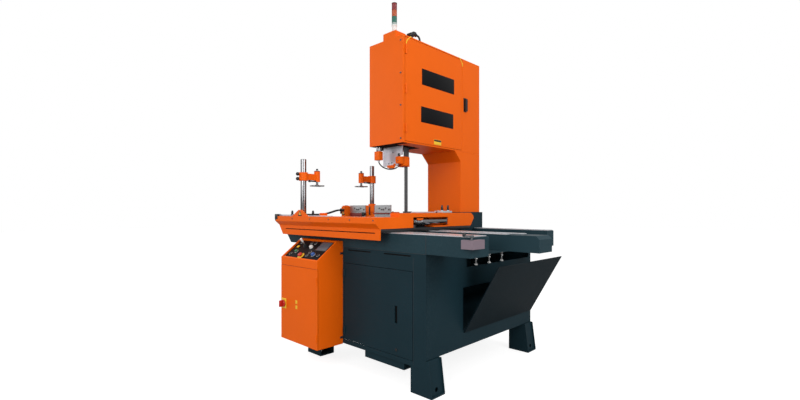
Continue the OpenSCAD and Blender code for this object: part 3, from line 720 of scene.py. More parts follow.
def cone_knob(shape: Shape, at: Point, radius: float, height: float) -> Shape:
    """Add a tapered handle with a rounded tip that stands on a collar.

    Args:
        shape: The shape it is added to.
        at: The foot of the handle.
        radius: The radius of its foot.
        height: Its height.

    Returns:
        The shape.
    """
    profile = [(radius, 0), (radius * 1.05, height * 0.06), (radius, height * 0.14), (radius * 0.62, height * 0.2),
               (radius * 0.72, height * 0.3), (radius * 0.66, height * 0.7), (radius * 0.5, height * 0.93),
               (radius * 0.25, height)]
    return shape.turned(profile, at, Axis.Z, 24)


def hose(name: str, route: list[Point], radius: float, body: str, finish: Finish,
         replaces: tuple[str, ...] = ()) -> bpy.types.Object:
    """Sweep a smooth hose along a route.

    Args:
        name: The piece's name.
        route: The points it passes.
        radius: Its radius.
        body: The body it rides on.
        finish: Its finish.
        replaces: The CAD nodes it stands for.

    Returns:
        The piece's object.
    """
    curve = bpy.data.curves.new(name, "CURVE")
    curve.dimensions = "3D"
    curve.bevel_depth = radius * MM
    curve.bevel_resolution = 4
    curve.use_fill_caps = True
    spline = curve.splines.new("BEZIER")
    spline.bezier_points.add(len(route) - 1)
    spline.resolution_u = 6
    for spot, place in zip(spline.bezier_points, route):
        spot.co = Vector(place) * MM
        spot.handle_left_type = spot.handle_right_type = "AUTO"
    made = bpy.data.objects.new(name, curve)
    bpy.context.scene.collection.objects.link(made)
    curve.materials.append(finish.build())
    return dress(made, body, "black_rubber", replaces)


@dataclass
class Base:
    """Trim of the box base: painted shadows in the grooves and the door pull, door lock, seams and foot bolts."""

    front: float = -730.0
    half_width: float = 661.5
    groove_x: tuple[tuple[float, float], ...] = ((-158.0, 112.0), (257.0, 523.0))
    groove_z: tuple[float, float] = (930.0, 941.0)
    lock: tuple[float, float] = (385.0, 259.0)
    anchor: tuple[float, float] = (617.5, 659.0)

    def build(self) -> None:
        """Build the base's trim."""
        grooves = Shape("groove_shadows")
        for x0, x1 in self.groove_x:
            grooves.block((x0 + 1, self.front + 2.2, self.groove_z[0] + 1),
                          (x1 - 1, self.front + 3.4, self.groove_z[1] - 1), 0)
        grooves.piece("base", SHADOW)
        lock = Shape("door_lock")
        lock.turned([(9, 0), (11, -0.5), (11, -3), (9.5, -4), (4, -4), (4, -2), (0.5, -2)],
                    (self.lock[0], self.front, self.lock[1]), Axis.Y, 24)
        lock.piece("access_door", BLACK, "black_plastic")
        # Painted shadow: a dark sheet inside the door's pull recess.
        pull = Shape("door_pull_shadow")
        pull.block((370, self.front + 9, 449), (393, self.front + 21, 571), 1)
        pull.piece("access_door", SHADOW)
        seams = Shape("bar_joint_seams")
        for x in (self.half_width, -self.half_width):
            seams.block((x - 2.5, self.front - 0.6, 957), (x + 2.5, self.front + 1, 1083), 0.3)
        seams.block((-self.half_width + 20, self.front - 1.2, 954.4), (self.half_width - 2, self.front + 1, 957), 0.4)
        seams.block((547, self.front - 0.5, 190), (549.5, self.front + 1, 926), 0.2)
        seams.piece("base", SEAM)
        self.build_anchor_bolts()

    def build_anchor_bolts(self) -> None:
        """Build the bolts, nuts and washers that hold the four feet."""
        bolts = Shape("anchor_bolts")
        for sx in (-1, 1):
            for sy in (-1, 1):
                x, y = sx * self.anchor[0], sy * self.anchor[1]
                bolts.rod((x, y, 14), 3, 22, steps=24)
                bolts.hex_head((x, y, 17), 15, 12)
                bolts.rod((x, y, 0.5), 48, 9, edge=1.2, steps=16)
        bolts.piece("base", SILVER, "machined_steel")


@dataclass
class Bed:
    """The bed's jacking screws, stop handle and bolted strips."""

    jack_x: float = 690.0
    jack_y: tuple[float, ...] = (-185.0, -6.0, 180.0)
    stop: tuple[float, float] = (1041.5, -750.0)

    def build(self) -> None:
        """Build the bed's detail pieces."""
        self.build_jacks()
        self.build_stop()
        self.build_strip_screws()

    def build_jacks(self) -> None:
        """Build threaded jacking screws with hexagonal nuts and round feet."""
        screws, feet = Shape("jack_screw_threads"), Shape("jack_screw_feet")
        for y in self.jack_y:
            profile, z, pitch = [], 852.0, 2.5
            while z < 914:
                profile += [(7.6, z), (6.4, z + pitch / 2)]
                z += pitch
            screws.turned([(7.6, 850), *profile, (7.6, 914.5)], (self.jack_x, y, 0), Axis.Z, 16)
            screws.hex_head((self.jack_x, y, 901), 15, 13.5)
            screws.hex_head((self.jack_x, y, 886), 14, 9)
            feet.turned([(13, 840), (14, 841), (14, 848), (9, 852)], (self.jack_x, y, 0), Axis.Z, 24)
        screws.piece("base", SILVER, "machined_steel", replaces=("jack_screws",))
        feet.piece("base", WHITE, "white_plastic", replaces=("jack_screws",))

    def build_stop(self) -> None:
        """Build the work stop's pivot, lever and knob."""
        x, y = self.stop
        lever = Shape("stop_handle")
        lever.rod((x, y, 1042), 49, 6)
        lever.turned([(11, 0), (12, 1), (12, 3), (8, 4)], (x, y, 1070), Axis.Z, 24)
        lever.block((x - 50, y - 7, 1091), (x + 13, y + 7, 1100), 3, 3)
        lever.turned([(12, 0), (13, 1.5), (13, 10), (12, 11.5)], (x, y, 1089.5), Axis.Z, 24)
        lever.piece("stop_lever", CAST, "grey_cast", replaces=("stop_lever",))
        knob = Shape("stop_handle_grip")
        knob.turned([(7, 0), (10, 4), (12, 10), (11.5, 17), (7, 24), (2, 26)], (x - 56, y, 1089), Axis.Z, 24)
        knob.piece("stop_lever", BLACK, "black_plastic")

    def build_strip_screws(self) -> None:
        """Build the countersunk screws of the machined strips."""
        screws = Shape("strip_screws")
        rows = ((-1000, -60, -630, 6), (60, 950, -630, 6), (300, 960, -270, 5), (300, 1010, -140, 5),
                (300, 900, 510, 5), (-1000, -300, -200, 5), (-720, -300, 510, 3))
        for x0, x1, y, count in rows:
            for k in range(count):
                x = x0 + (x1 - x0) * k / (count - 1)
                screws.turned([(7.5, 0), (7.5, 0.3), (4.0, 0.35), (3.6, -0.4)], (x, y, 1090), Axis.Z, 16)
        screws.piece("base", CAST, "machined_steel")


@dataclass
class Vise:
    """The vise box's trim, the clamping jaw's fittings and the hoses that feed it."""

    box_front: float = -885.0
    box_top: float = 1200.0
    screw_x: tuple[float, ...] = (-719.0, -458.0, -203.0, 54.0, 311.0)
    jaw_x: float = -620.0

    def build(self) -> None:
        """Build the vise's detail pieces."""
        self.build_front()
        self.build_rail()
        self.build_jaw()
        self.build_manifold()
        self.build_hoses()

    def build_front(self) -> None:
        """Build the screws, the painted shadow in the slot and the blank triangular sign of the box."""
        screws = Shape("vise_box_screws")
        for x in self.screw_x:
            screws.socket_screw((x, self.box_front, 1180), 5.5, Axis.Y, -1)
        screws.piece("base", CAST, "machined_steel")
        slot = Shape("vise_slot_shadow")
        slot.block((-900, self.box_front + 48.5, 1085.5), (280, self.box_front + 51.5, 1091.5), 0)
        slot.piece("base", SHADOW)
        sign, edge = Shape("blank_triangle_sign"), Shape("blank_triangle_edge")
        low, high = self.box_top + 4, self.box_top + 50
        face = -873.2
        for shape, half, drop, depth in ((edge, 29.0, 0.0, 0.8), (sign, 14.0, 8.5, 1.2)):
            shape.prism([(self.jaw_x - half, low + drop), (self.jaw_x + half, low + drop),
                         (self.jaw_x, high - drop * 1.4)], Plane.XZ, face - depth, face + 0.4, 0.2)
        edge.piece("base", BLACK, "black_plastic")
        sign.piece("base", YELLOW)

    def build_rail(self) -> None:
        """Build the grey rail, its end block and the two cone handles on the box's top."""
        rail = Shape("scale_rail")
        rail.block((-1000, -868, self.box_top), (-748, -848, self.box_top + 15), 1.5)
        rail.block((-492, -868, self.box_top), (-200, -848, self.box_top + 9), 1.5)
        rail.piece("base", GUIDE_STEEL, "machined_steel")
        block = Shape("rail_end_block")
        block.block((-1006, -889, 1172), (-962, -846, self.box_top + 18), 3, 3)
        block.block((-1004, -887, 1162), (-990, -850, 1174), 2, 2)
        block.piece("base", BLACK, "black_plastic")
        knobs = Shape("vise_cone_handles")
        for x in (-762, -450):
            cone_knob(knobs, (x, -858, self.box_top + 10), 14, 40)
            knobs.rod((x, -858, self.box_top), 13, 10, steps=20)
        knobs.piece("base", BLACK, "black_plastic")

    def build_jaw(self) -> None:
        """Build the rear jaw's bolts, spring strip and plate screws."""
        bolts, rings = Shape("jaw_bolts"), Shape("jaw_plate_rings")
        for x0, x1 in ((-917, -682), (-548, -328)):
            for k in (0.3, 0.7):
                x = x0 + k * (x1 - x0)
                bolts.socket_screw((x, -76, 1270), 8, Axis.Y, -1)
            for k in (0.14, 0.5, 0.86):
                x = x0 + k * (x1 - x0)
                bolts.socket_screw((x, -80, 1160), 6, Axis.Y, -1)
        for x in (-880, -760, -480, -360):
            bolts.hex_head((x, -18, 1236), 9, 6)
        bolts.piece("rear_jaw", CAST, "machined_steel")
        for x0, x1 in ((-917, -682), (-548, -328)):
            for k in (0.44, 0.56, 0.9):
                bolts_x = x0 + k * (x1 - x0)
                rings.turned([(12, 0), (13, -1), (13, -2), (10, -2.6), (8.5, -2.6), (8, 0)], (bolts_x, -80, 1262),
                             Axis.Y, 24)
        rings.piece("rear_jaw", SILVER, "machined_steel")
        strip = Shape("jaw_plate_strip")
        strip.block((-548, -100, 1216), (-340, -84, 1228), 1.5)
        strip.block((-900, -96, 1190), (-720, -84, 1226), 1.5)
        strip.piece("rear_jaw", RED_DARK)
        stay = Shape("jaw_adjuster")
        stay.rod((-700, -92, 1214), 26, 12, Axis.X, steps=24)
        stay.block((-712, -104, 1196), (-700, -84, 1232), 2)
        stay.block((self.jaw_x - 7, -86, 1206), (self.jaw_x + 7, -78, 1288), 2)
        stay.piece("rear_jaw", BLACK, "black_plastic")
        bars = Shape("rear_post_bar")
        bars.rod((self.jaw_x, -48, 1240), 447, 22, edge=2.5, steps=48)
        bars.rod((self.jaw_x, 41, 1190), 405, 15, Axis.Y, edge=1.5)
        bars.piece("rear_jaw", CHROME, "chromed_bar", replaces=("jaw_bars",))
        post = Shape("front_post_bar")
        post.rod((self.jaw_x, -838, self.box_top), 487, 25, edge=2.5, steps=48)
        post.piece("base", CHROME, "chromed_bar", replaces=("front_post",))
        collar = Shape("rear_post_collar")
        collar.turned([(34, 0), (35, 1.5), (35, 12), (33.5, 14), (22.6, 14)], (self.jaw_x, -48, 1300), Axis.Z, 40)
        collar.piece("rear_jaw", ORANGE, "orange_paint")

    def build_manifold(self) -> None:
        """Build the manifold's fittings, blank sign and cap screws."""
        fittings, caps = Shape("manifold_fittings"), Shape("manifold_caps")
        for x in (-948, -968):
            fittings.rod((x, -172, 1254), 32, 10.5, Axis.Y, steps=20)
            fittings.turned([(12.5, 0), (13.5, 1), (13.5, 12), (12, 13)], (x, -153, 1254), Axis.Y, 6)
        fittings.block((-996, -150, 1216), (-984, -70, 1272), 3)
        fittings.piece("base", BLACK, "black_plastic")
        for x in (-968, -946):
            caps.rod((x, -100, 1299), 5, 9, steps=20)
        caps.piece("base", SILVER, "machined_steel")
        edge, sign = Shape("manifold_sign_edge"), Shape("blank_manifold_sign")
        for shape, half, drop, depth in ((edge, 24.0, 0.0, 0.8), (sign, 12.0, 8.0, 1.2)):
            shape.prism([(-957 - half, 1205 + drop), (-957 + half, 1205 + drop), (-957, 1248 - drop * 1.4)], Plane.XZ,
                        -140 - depth, -139.6, 0.2)
        edge.piece("base", BLACK, "black_plastic")
        sign.piece("base", YELLOW)

    def build_hoses(self) -> None:
        """Build the two clamp hoses that run from the box to the manifold."""
        route = [(-560, -700, 1214), (-600, -700, 1214), (-660, -699, 1214), (-730, -694, 1213),
                 (-800, -680, 1213), (-860, -650, 1213), (-900, -605, 1212), (-925, -550, 1211),
                 (-940, -490, 1211), (-947, -430, 1212), (-950, -370, 1216), (-950, -310, 1227),
                 (-949, -260, 1240), (-948, -220, 1250), (-948, -180, 1254), (-948, -141, 1254)]
        for k in (0, 1):
            points = []
            for i, (x, y, z) in enumerate(route):
                part = min(1.0, max(0, i - 1) / 6)
                points.append((x - k * 20 * part, y + k * 20 * (1 - part), z))
            hose(f"clamp_hose_{k + 1}", points, 8, "base", RUBBER, ("clamp_hoses",))
        ends = Shape("clamp_hose_ends")
        for y in (-700, -680):
            ends.rod((-574, y, 1214), 15, 10.5, Axis.X, steps=20)
        ends.piece("base", SILVER, "machined_steel")


@dataclass
class SideBeam:
    """The side beam's roller, gauge strip and travelling gauge block."""

    roller: tuple[float, float] = (302.0, 1162.0)

    def build(self) -> None:
        """Build the beam's detail pieces."""
        x, z = self.roller
        roller = Shape("bellows_roller")
        profile = [(25, 0)]
        for k in range(6):
            profile += [(28, 1 + k * 16), (28.5, 8 + k * 16), (25, 13 + k * 16), (22, 14.5 + k * 16)]
        profile += [(25, 100), (25, 408), (20, 411)]
        roller.turned(profile, (x, -480, z), Axis.Y, 40)
        roller.block((x - 22, -68, 1134), (x + 22, -58, 1190), 2)
        roller.piece("base", CHROME, "machined_steel", replaces=("side_roller",))
        foot = Shape("roller_foot")
        foot.rod((x, -460, 1091), 48, 20, edge=3)
        foot.turned([(24, 0), (26, 2), (26, 10), (22, 13)], (x, -460, 1091), Axis.Z, 28)
        foot.piece("base", BLACK, "black_plastic")
        gauge = Shape("gauge_strip")
        gauge.block((252, -432, 1230.2), (262, -150, 1240), 1)
        gauge.block((300, -432, 1230.2), (306, -274, 1238), 1)
        gauge.piece("base", GUIDE_STEEL, "machined_steel")
        # Painted shadow: dark plates under and beside the side beam where only shade falls.
        shadow_filler = Shape("beam_painted_shadow")
        shadow_filler.block((300, -828, 1090.3), (328, 262, 1117.6), 1)
        shadow_filler.block((236, -486, 1118), (240, -250, 1196), 0.6)
        shadow_filler.piece("base", BLACK, "base_paint")
        tab = Shape("beam_tab")
        tab.prism([(-452, 1190), (-372, 1190), (-388, 1174), (-440, 1174)], Plane.YZ, 326, 334, 1)
        tab.piece("base", ORANGE, "orange_paint")
        block = Shape("gauge_block")
        block.prism([(237, 1230.3), (249, 1230.3), (249, 1241.5), (265, 1241.5), (265, 1230.3), (328, 1230.3),
                     (328, 1247), (237, 1247)], Plane.XZ, -123, -3, 1.5)
        for y in (-105, -25):
            block.rod((302, y, 1246), 8, 11, steps=20)
        block.socket_screw((255, -95, 1247), 6)
        block.socket_screw((255, -35, 1247), 6)
        block.piece("slide_block", MACHINED, "machined_steel", replaces=("slide_block",))
        handles = Shape("gauge_handles")
        for y in (-105, -25):
            cone_knob(handles, (302, y, 1252), 12.5, 42)
        handles.piece("slide_block", BLACK, "black_plastic")


@dataclass
class HoldDowns:
    """The knobs, levers and forked pads of the two hold-down arms."""

    x: float = -620.0
    reach: float = 140.0

    def build(self) -> None:
        """Build the knobs, rings and forked pads of both arms."""
        for name, body, post_y, low, way, pad_body, post in (
                ("front", "front_arm", -838.0, 1504.0, 1, "front_pad", 25.0),
                ("rear", "rear_arm", -48.0, 1518.0, -1, "rear_pad", 22.0)):
            knobs = Shape(f"{name}_arm_knobs")
            if way > 0:
                for z in (low + 15, low + 55):
                    ball_knob(knobs, (self.x, post_y - 36, z), 15.5, Axis.Y, -1)
            else:
                ball_knob(knobs, (self.x - 36, post_y, low + 14), 15.5, Axis.X, -1)
            knobs.piece(body, BLACK, "black_plastic")
            rings = Shape(f"{name}_arm_rings")
            for z in (low, low + 66):
                rings.turned([(38.2, 0), (38.8, 1), (38.8, 3), (38.2, 4), (post + 1, 4), (post + 1, 0.1)],
                             (self.x, post_y, z), Axis.Z, 40, ring=True)
            rings.piece(body, ORANGE, "orange_paint")
            self.build_pad(name, pad_body, body, post_y + way * self.reach, low, way)

    def build_pad(self, name: str, body: str, arm: str, y: float, low: float, way: int) -> None:
        """Build a forked pad with its hub, spindle, cap and clamp lever.

        Args:
            name: Which of the two pads it is.
            body: The body the pad rides on.
            arm: The body its arm rides on.
            y: The spindle's place.
            low: The height of the arm's underside.
            way: 1 where the arm reaches backwards, -1 where it reaches forwards.
        """
        x = self.x
        fork = Shape(f"{name}_fork")
        fork.turned([(16, 0), (18, 1.5), (18, 9), (16, 10.5), (9, 10.5)], (x, y, low - 40), Axis.Z, 36)
        fork.rod((x, y, low - 34), 131, 10, edge=0.3, steps=24)
        fork.block((x - 38, y - 30, low - 44), (x + 38, y + 30, low - 34), 3, 3)
        for side in (-1, 1):
            for prong in (-52, 28):
                middle = x + side * 25
                fork.block((middle - 13, y + prong, low - 44), (middle + 13, y + prong + 24, low - 33), 3, 3)
        fork.piece(body, CHROME, "machined_steel", replaces=(f"{name}_pad",))
        cap = Shape(f"{name}_pad_cap")
        cap.turned([(10.6, 0), (25, 0), (26, 1), (26, 4), (23, 6), (10.6, 6)], (x, y, low + 86.2), Axis.Z, 36,
                   ring=True)
        cap.piece(arm, BLACK, "black_plastic")
        knob = Shape(f"{name}_pad_knob")
        knob.turned([(9.9, 0), (9.9, 9), (8, 13), (5, 14)], (x, y, low + 97), Axis.Z, 24)
        knob.piece(body, BLACK, "black_plastic")
        lever = Shape(f"{name}_pad_lever")
        lever.rod((x + 14, min(y - way * 20, y - way * 88), low - 1.5), 68, 5.5, Axis.Y, edge=1, steps=16)
        lever.rod((x + 14, y - way * 88 - 9, low - 1.5), 18, 9, Axis.Y, edge=3, steps=20)
        lever.piece(arm, BLACK, "black_plastic")


@dataclass
class Cabinet:
    """The control cabinet: console, controls, switch and blank signs."""

    corner: Point = (-738.0, -980.0, 860.0)
    run: float = 192.0
    rise: float = 146.0
    recess: float = 12.0
    switch: tuple[float, float] = (-690.0, 472.0)

    def on_console(self, across: float, up: float, out: float = 0.0) -> Matrix:
        """Return the matrix that brings a shape onto the sloped console.

        Args:
            across: The distance from the console's left edge.
            up: The distance up the slope.
            out: The height over the panel.

        Returns:
            The matrix.
        """
        tilt = math.atan2(self.rise, self.run)
        return (Matrix.Translation(self.corner) @ Matrix.Rotation(tilt, 4, "X")
                @ Matrix.Translation((across, up, out - self.recess)))

    def build(self) -> None:
        """Build the cabinet's detail pieces."""
        self.build_panel()
        self.build_buttons()
        self.build_knobs()
        self.build_stick()
        self.build_door()

    def build_panel(self) -> None:
        """Build the display, bezels and small fixed lamps of the console."""
        frame = Shape("display_frame")
        frame.block((338, 120, 0), (485, 230, 3), 1, turn=self.on_console(0, 0))
        frame.piece("base", BLACK, "black_plastic")
        screen = Shape("display_glass")
        screen.block((345, 127, 2.6), (478, 223, 3.6), 0.4, turn=self.on_console(0, 0))
        screen.piece("base", SCREEN)
        rings = Shape("control_bezels")
        for u, v, r in ((113, 90, 19), (257, 154, 21), (376, 72, 21), (60, 60, 15), (60, 200, 15), (300, 60, 15),
                        (205, 205, 15), (260, 205, 15), (300, 100, 15), (440, 72, 15)):
            rings.turned([(r, 0), (r, 1.4), (r - 1.5, 2.4), (r - 4, 2.4), (r - 4.5, 0.4)], (0, 0, 0), Axis.Z, 28,
                         self.on_console(u, v))
        rings.piece("base", SILVER, "machined_steel")
        caps = Shape("spare_buttons")
        for u, v in ((60, 60), (60, 200), (300, 60), (205, 205), (260, 205), (300, 100), (440, 72)):
            caps.turned([(9, 0.2), (10, 1), (10, 6), (8.5, 8)], (0, 0, 0), Axis.Z, 24, self.on_console(u, v))
        caps.piece("base", BLACK, "black_plastic")
        halo = Shape("stop_button_collar")
        halo.turned([(31, 0), (32, 0.6), (32, 2), (30, 3), (13, 3), (12, 0.4)], (0, 0, 0), Axis.Z, 40,
                    self.on_console(231, 46))
        halo.piece("base", YELLOW)
        lamp = Shape("yellow_pilot")
        lamp.block((62, 132, 0), (90, 156, 9), 3, 3, turn=self.on_console(0, 0))
        lamp.piece("base", YELLOW)
        screws = Shape("console_screws")
        for u in (24, 260, 496):
            for v in (22, 219):
                screws.turned([(5, 0), (5, 1), (3.6, 2.2), (1.6, 2.2), (1.4, 1)], (0, 0, 0), Axis.Z, 12,
                              self.on_console(u, v))
        screws.piece("base", SILVER, "machined_steel")

    def build_buttons(self) -> None:
        """Build the stop and start buttons."""
        stop = Shape("stop_mushroom")
        stop.turned([(8, -16), (8, 8), (12, 8), (18, 13), (20, 17), (20, 20), (17.5, 24), (11, 27), (3, 28.5)],
                    (0, 0, 0), Axis.Z, 40, self.on_console(231, 46))
        stop.piece("estop_button", RED, "red_plastic", replaces=("estop_button",))
        start = Shape("start_cap")
        start.turned([(8, -16), (8, 7), (13, 7), (14, 8), (14, 13.5), (12.5, 15), (2, 15.4)], (0, 0, 0), Axis.Z, 36,
                     self.on_console(113, 90))
        start.piece("start_button", GREEN, "green_plastic", replaces=("start_button",))

    def build_knobs(self) -> None:
        """Build the two turning knobs with their pointer lines."""
        for name, node, finish, slot, u, v in (
                ("speed_dial", "speed_knob", WHITE, "white_plastic", 257, 154),
                ("pressure_dial", "pressure_knob", BLUE, "blue_plastic", 376, 72)):
            knob, line = Shape(name), Shape(f"{name}_line")
            profile = [(8, -16), (8, 1), (17, 1), (17, 4), (15.2, 6), (14.2, 17), (13, 19), (2, 19.4)]
            place = self.on_console(u, v)
            knob.turned(profile, (0, 0, 0), Axis.Z, 36, place)
            for k in range(18):
                spin = place @ Matrix.Rotation(k * math.tau / 18, 4, "Z")
                knob.block((14.2, -0.9, 5), (16.2, 0.9, 16), 0.4, 1, turn=spin)
            line.block((-1.1, 4, 18.8), (1.1, 14, 20), 0.3, 1, turn=place)
            knob.piece(node, finish, slot, replaces=(node,))
            line.piece(node, BLACK)

    def build_stick(self) -> None:
        """Build the joystick with its boot and grip."""
        place = self.on_console(157, 165)
        rod, grip = Shape("stick_rod"), Shape("stick_grip")
        rod.rod((0, 0, -6), 54, 4.6, steps=20, turn=place)
        rod.piece("joystick", SILVER, "machined_steel", replaces=("joystick",))
        grip.turned([(6, 44), (8, 46), (9.5, 60), (10.5, 74), (9.5, 80), (5, 83)], (0, 0, 0), Axis.Z, 28, place)
        grip.piece("joystick", WHITE, "white_plastic")
        boot = Shape("stick_boot")
        boot.turned([(21, 0), (21, 2), (17, 4), (18, 7), (14, 9), (15, 12), (11, 14), (11.5, 17), (7, 19)],
                    (0, 0, 0), Axis.Z, 32, place)
        boot.piece("base", RUBBER, "black_rubber")

    def build_door(self) -> None:
        """Build the door's switch, blank signs and handle."""
        x, z = self.switch
        plate = Shape("switch_plate")
        plate.block((x - 34, -984.5, z - 42), (x + 34, -979.6, z + 42), 2.5, 3)
        plate.piece("cabinet_door", YELLOW)
        dial = Shape("switch_dial")
        dial.turned([(8, 20), (8, -2), (26, -2), (29, -6), (30, -16), (26, -19), (3, -20)], (x, -982, z), Axis.Y, 36)
        dial.block((x - 8, -1028, z - 27), (x + 8, -1000, z + 27), 4, 3)
        dial.piece("main_switch", RED, "red_plastic", replaces=("main_switch",))
        signs = Shape("blank_door_signs")
        signs.block((-519, -981, 450), (-493, -979.8, 478), 0.3)
        signs.block((-519, -981, 492), (-493, -979.8, 520), 0.3)
        signs.piece("cabinet_door", YELLOW)
        seam = Shape("cabinet_seams")
        seam.block((-737.4, -980.4, 794.0), (-218.6, -979.0, 795.6), 0)
        seam.piece("base", ORANGE_SEAM)
        latch = Shape("cabinet_latch")
        for height in (905, 230):
            latch.block((-218.4, -760, height - 8), (-214, -732, height + 8), 1.5)
        latch.piece("base", SEAM)


@dataclass
class SawFrame:
    """The head's trim: blank signs, screws, latch, lamp and connector."""

    side: float = 196.0
    front: float = -462.0
    top: float = 2640.0
    lamp: tuple[float, float] = (59.0, -420.0)

    def build(self) -> None:
        """Build the head's detail pieces."""
        self.build_signs()
        self.build_screws()
        self.build_lamp()
        self.build_connector()
        self.build_latch()
        self.build_teeth()

    def build_signs(self) -> None:
        """Build the two blank black plates, the yellow sign and the lifting marks."""
        plates = Shape("blank_head_plates")
        for y0, y1, z0, z1 in ((-236, 201, 2287, 2420), (-247, 188, 1977, 2107)):
            plates.block((self.side - 0.2, y0, z0), (self.side + 1.4, y1, z1), 0.5)
        plates.piece("head_door", PANEL, "black_plastic")
        small, band = Shape("blank_yellow_sign"), Shape("blank_sign_band")
        small.block((self.side - 0.2, -81, 1811), (self.side + 0.9, 17, 1855), 0.3)
        small.piece("head_door", YELLOW)
        band.block((self.side + 0.7, -79, 1838), (self.side + 1.3, 15, 1853), 0.2)
        band.piece("head_door", BLACK)
        marks = Shape("lifting_marks")
        for y0, lean in ((-422, 1), (330, -1)):
            for k in range(6):
                turn = k / 5
                y = y0 + lean * 46 * turn ** 1.7
                z = 2580 + 56 * turn
                tilt = Matrix.Translation((0, y, z)) @ Matrix.Rotation(math.radians(-lean * (8 + 46 * turn)), 4, "X")
                marks.block((self.side - 0.2, -4, -8), (self.side + 1.0 + 0.04 * k, 4, 8), 0, turn=tilt)
        marks.piece("saw_frame", YELLOW)

    def build_screws(self) -> None:
        """Build the screws of the head's front face and the column's seam."""
        screws = Shape("head_screws")
        for z in (2597, 2339, 2084, 1822):
            screws.socket_screw((172, self.front, z), 7, Axis.Y, -1)
        screws.piece("saw_frame", CAST, "machined_steel")
        mouth = Shape("head_mouth_shadow")
        mouth.block((-186, -455, 1786.2), (186, -404, 1787.8), 0)
        mouth.block((-186, -404, 1786.2), (66, -120, 1787.8), 0)
        mouth.piece("saw_frame", SHADOW)
        cap = Shape("head_top_plate")
        cap.block((-60, -330, self.top - 0.5), (60, -60, self.top + 3), 1)
        for x, y in ((-48, -318), (48, -318), (-48, -72), (48, -72)):
            cap.socket_screw((x, y, self.top + 3), 5)
        cap.piece("saw_frame", ORANGE, "orange_paint")

    def build_lamp(self) -> None:
        """Build the stack lamp: base, ring, four lenses and cap."""
        x, y = self.lamp
        foot = 2695.0
        base = Shape("lamp_base")
        base.turned([(18, 0), (19, 1), (19, 50), (20, 54), (22.5, 56), (22.5, 62), (21, 64)], (x, y, foot),
                    Axis.Z, 40)
        base.piece("saw_frame", LAMP_BODY, "lamp_plastic", replaces=("stack_lamp",))
        z = foot + 64
        for name, finish, high in (("clear", LENS_CLEAR, 19), ("green", LENS_GREEN, 48), ("amber", LENS_AMBER, 52),
                                   ("red", LENS_RED, 56)):
            profile, step = [(19.5, 0)], 3.0
            for k in range(int(high / step)):
                profile += [(20.6, 0.6 + k * step), (21.2, 1.6 + k * step), (20.6, 2.6 + k * step)]
            lens = Shape(f"lamp_{name}_lens")
            lens.turned([*profile, (19.5, high)], (x, y, z), Axis.Z, 40)
            lens.piece("saw_frame", finish, "lamp_plastic")
            z += high
        cap = Shape("lamp_cap")
        cap.turned([(22, 0), (22.5, 1), (22.5, 2), (20, 3.4), (8, 4)], (x, y, z), Axis.Z, 40)
        cap.piece("saw_frame", BLACK, "black_plastic")

    def build_connector(self) -> None:
        """Build the black cable gland with its elbow on the head's top."""
        gland = Shape("head_cable_gland")
        gland.rod((158, -330, self.top), 12, 22, edge=2)
        gland.hex_head((158, -330, self.top + 10), 20, 12)
        gland.block((128, -352, self.top + 20), (182, -312, self.top + 50), 7, 3)
        gland.block((142, -322, self.top + 34), (184, -286, self.top + 66), 8, 3)
        gland.turned([(13, 0), (15, 2), (15, 16), (11, 20)], (162, -288, self.top + 50), Axis.Y, 20)
        gland.piece("saw_frame", BLACK, "black_plastic")
        lead = [(162, -272, 2690), (163, -256, 2690), (164, -241, 2684), (165, -231, 2670), (165, -228, 2654),
                (165, -228, 2636)]
        hose("head_cable_loop", lead, 8, "saw_frame", RUBBER)

    def build_latch(self) -> None:
        """Build the latch's plate on the head's side."""
        plate = Shape("latch_plate")
        plate.block((self.side - 0.4, 345, 2158), (self.side + 3, 391, 2286), 2)
        plate.piece("saw_frame", BLACK, "black_plastic")

    def build_teeth(self) -> None:
        """Build the saw teeth along the cutting run of the blade."""
        teeth = Shape("blade_teeth")
        edge, pitch = -238.4, 12.0
        count = int((1770 - 905) / pitch)
        for k in range(count):
            z = 905 + k * pitch
            teeth.prism([(edge + 0.5, z), (edge - 3.2, z + 1.2), (edge + 0.5, z + 8.5)], Plane.YZ, -0.9, 0.9, 0)
        teeth.piece("saw_frame", BLADE, "blade_steel", flat=True)


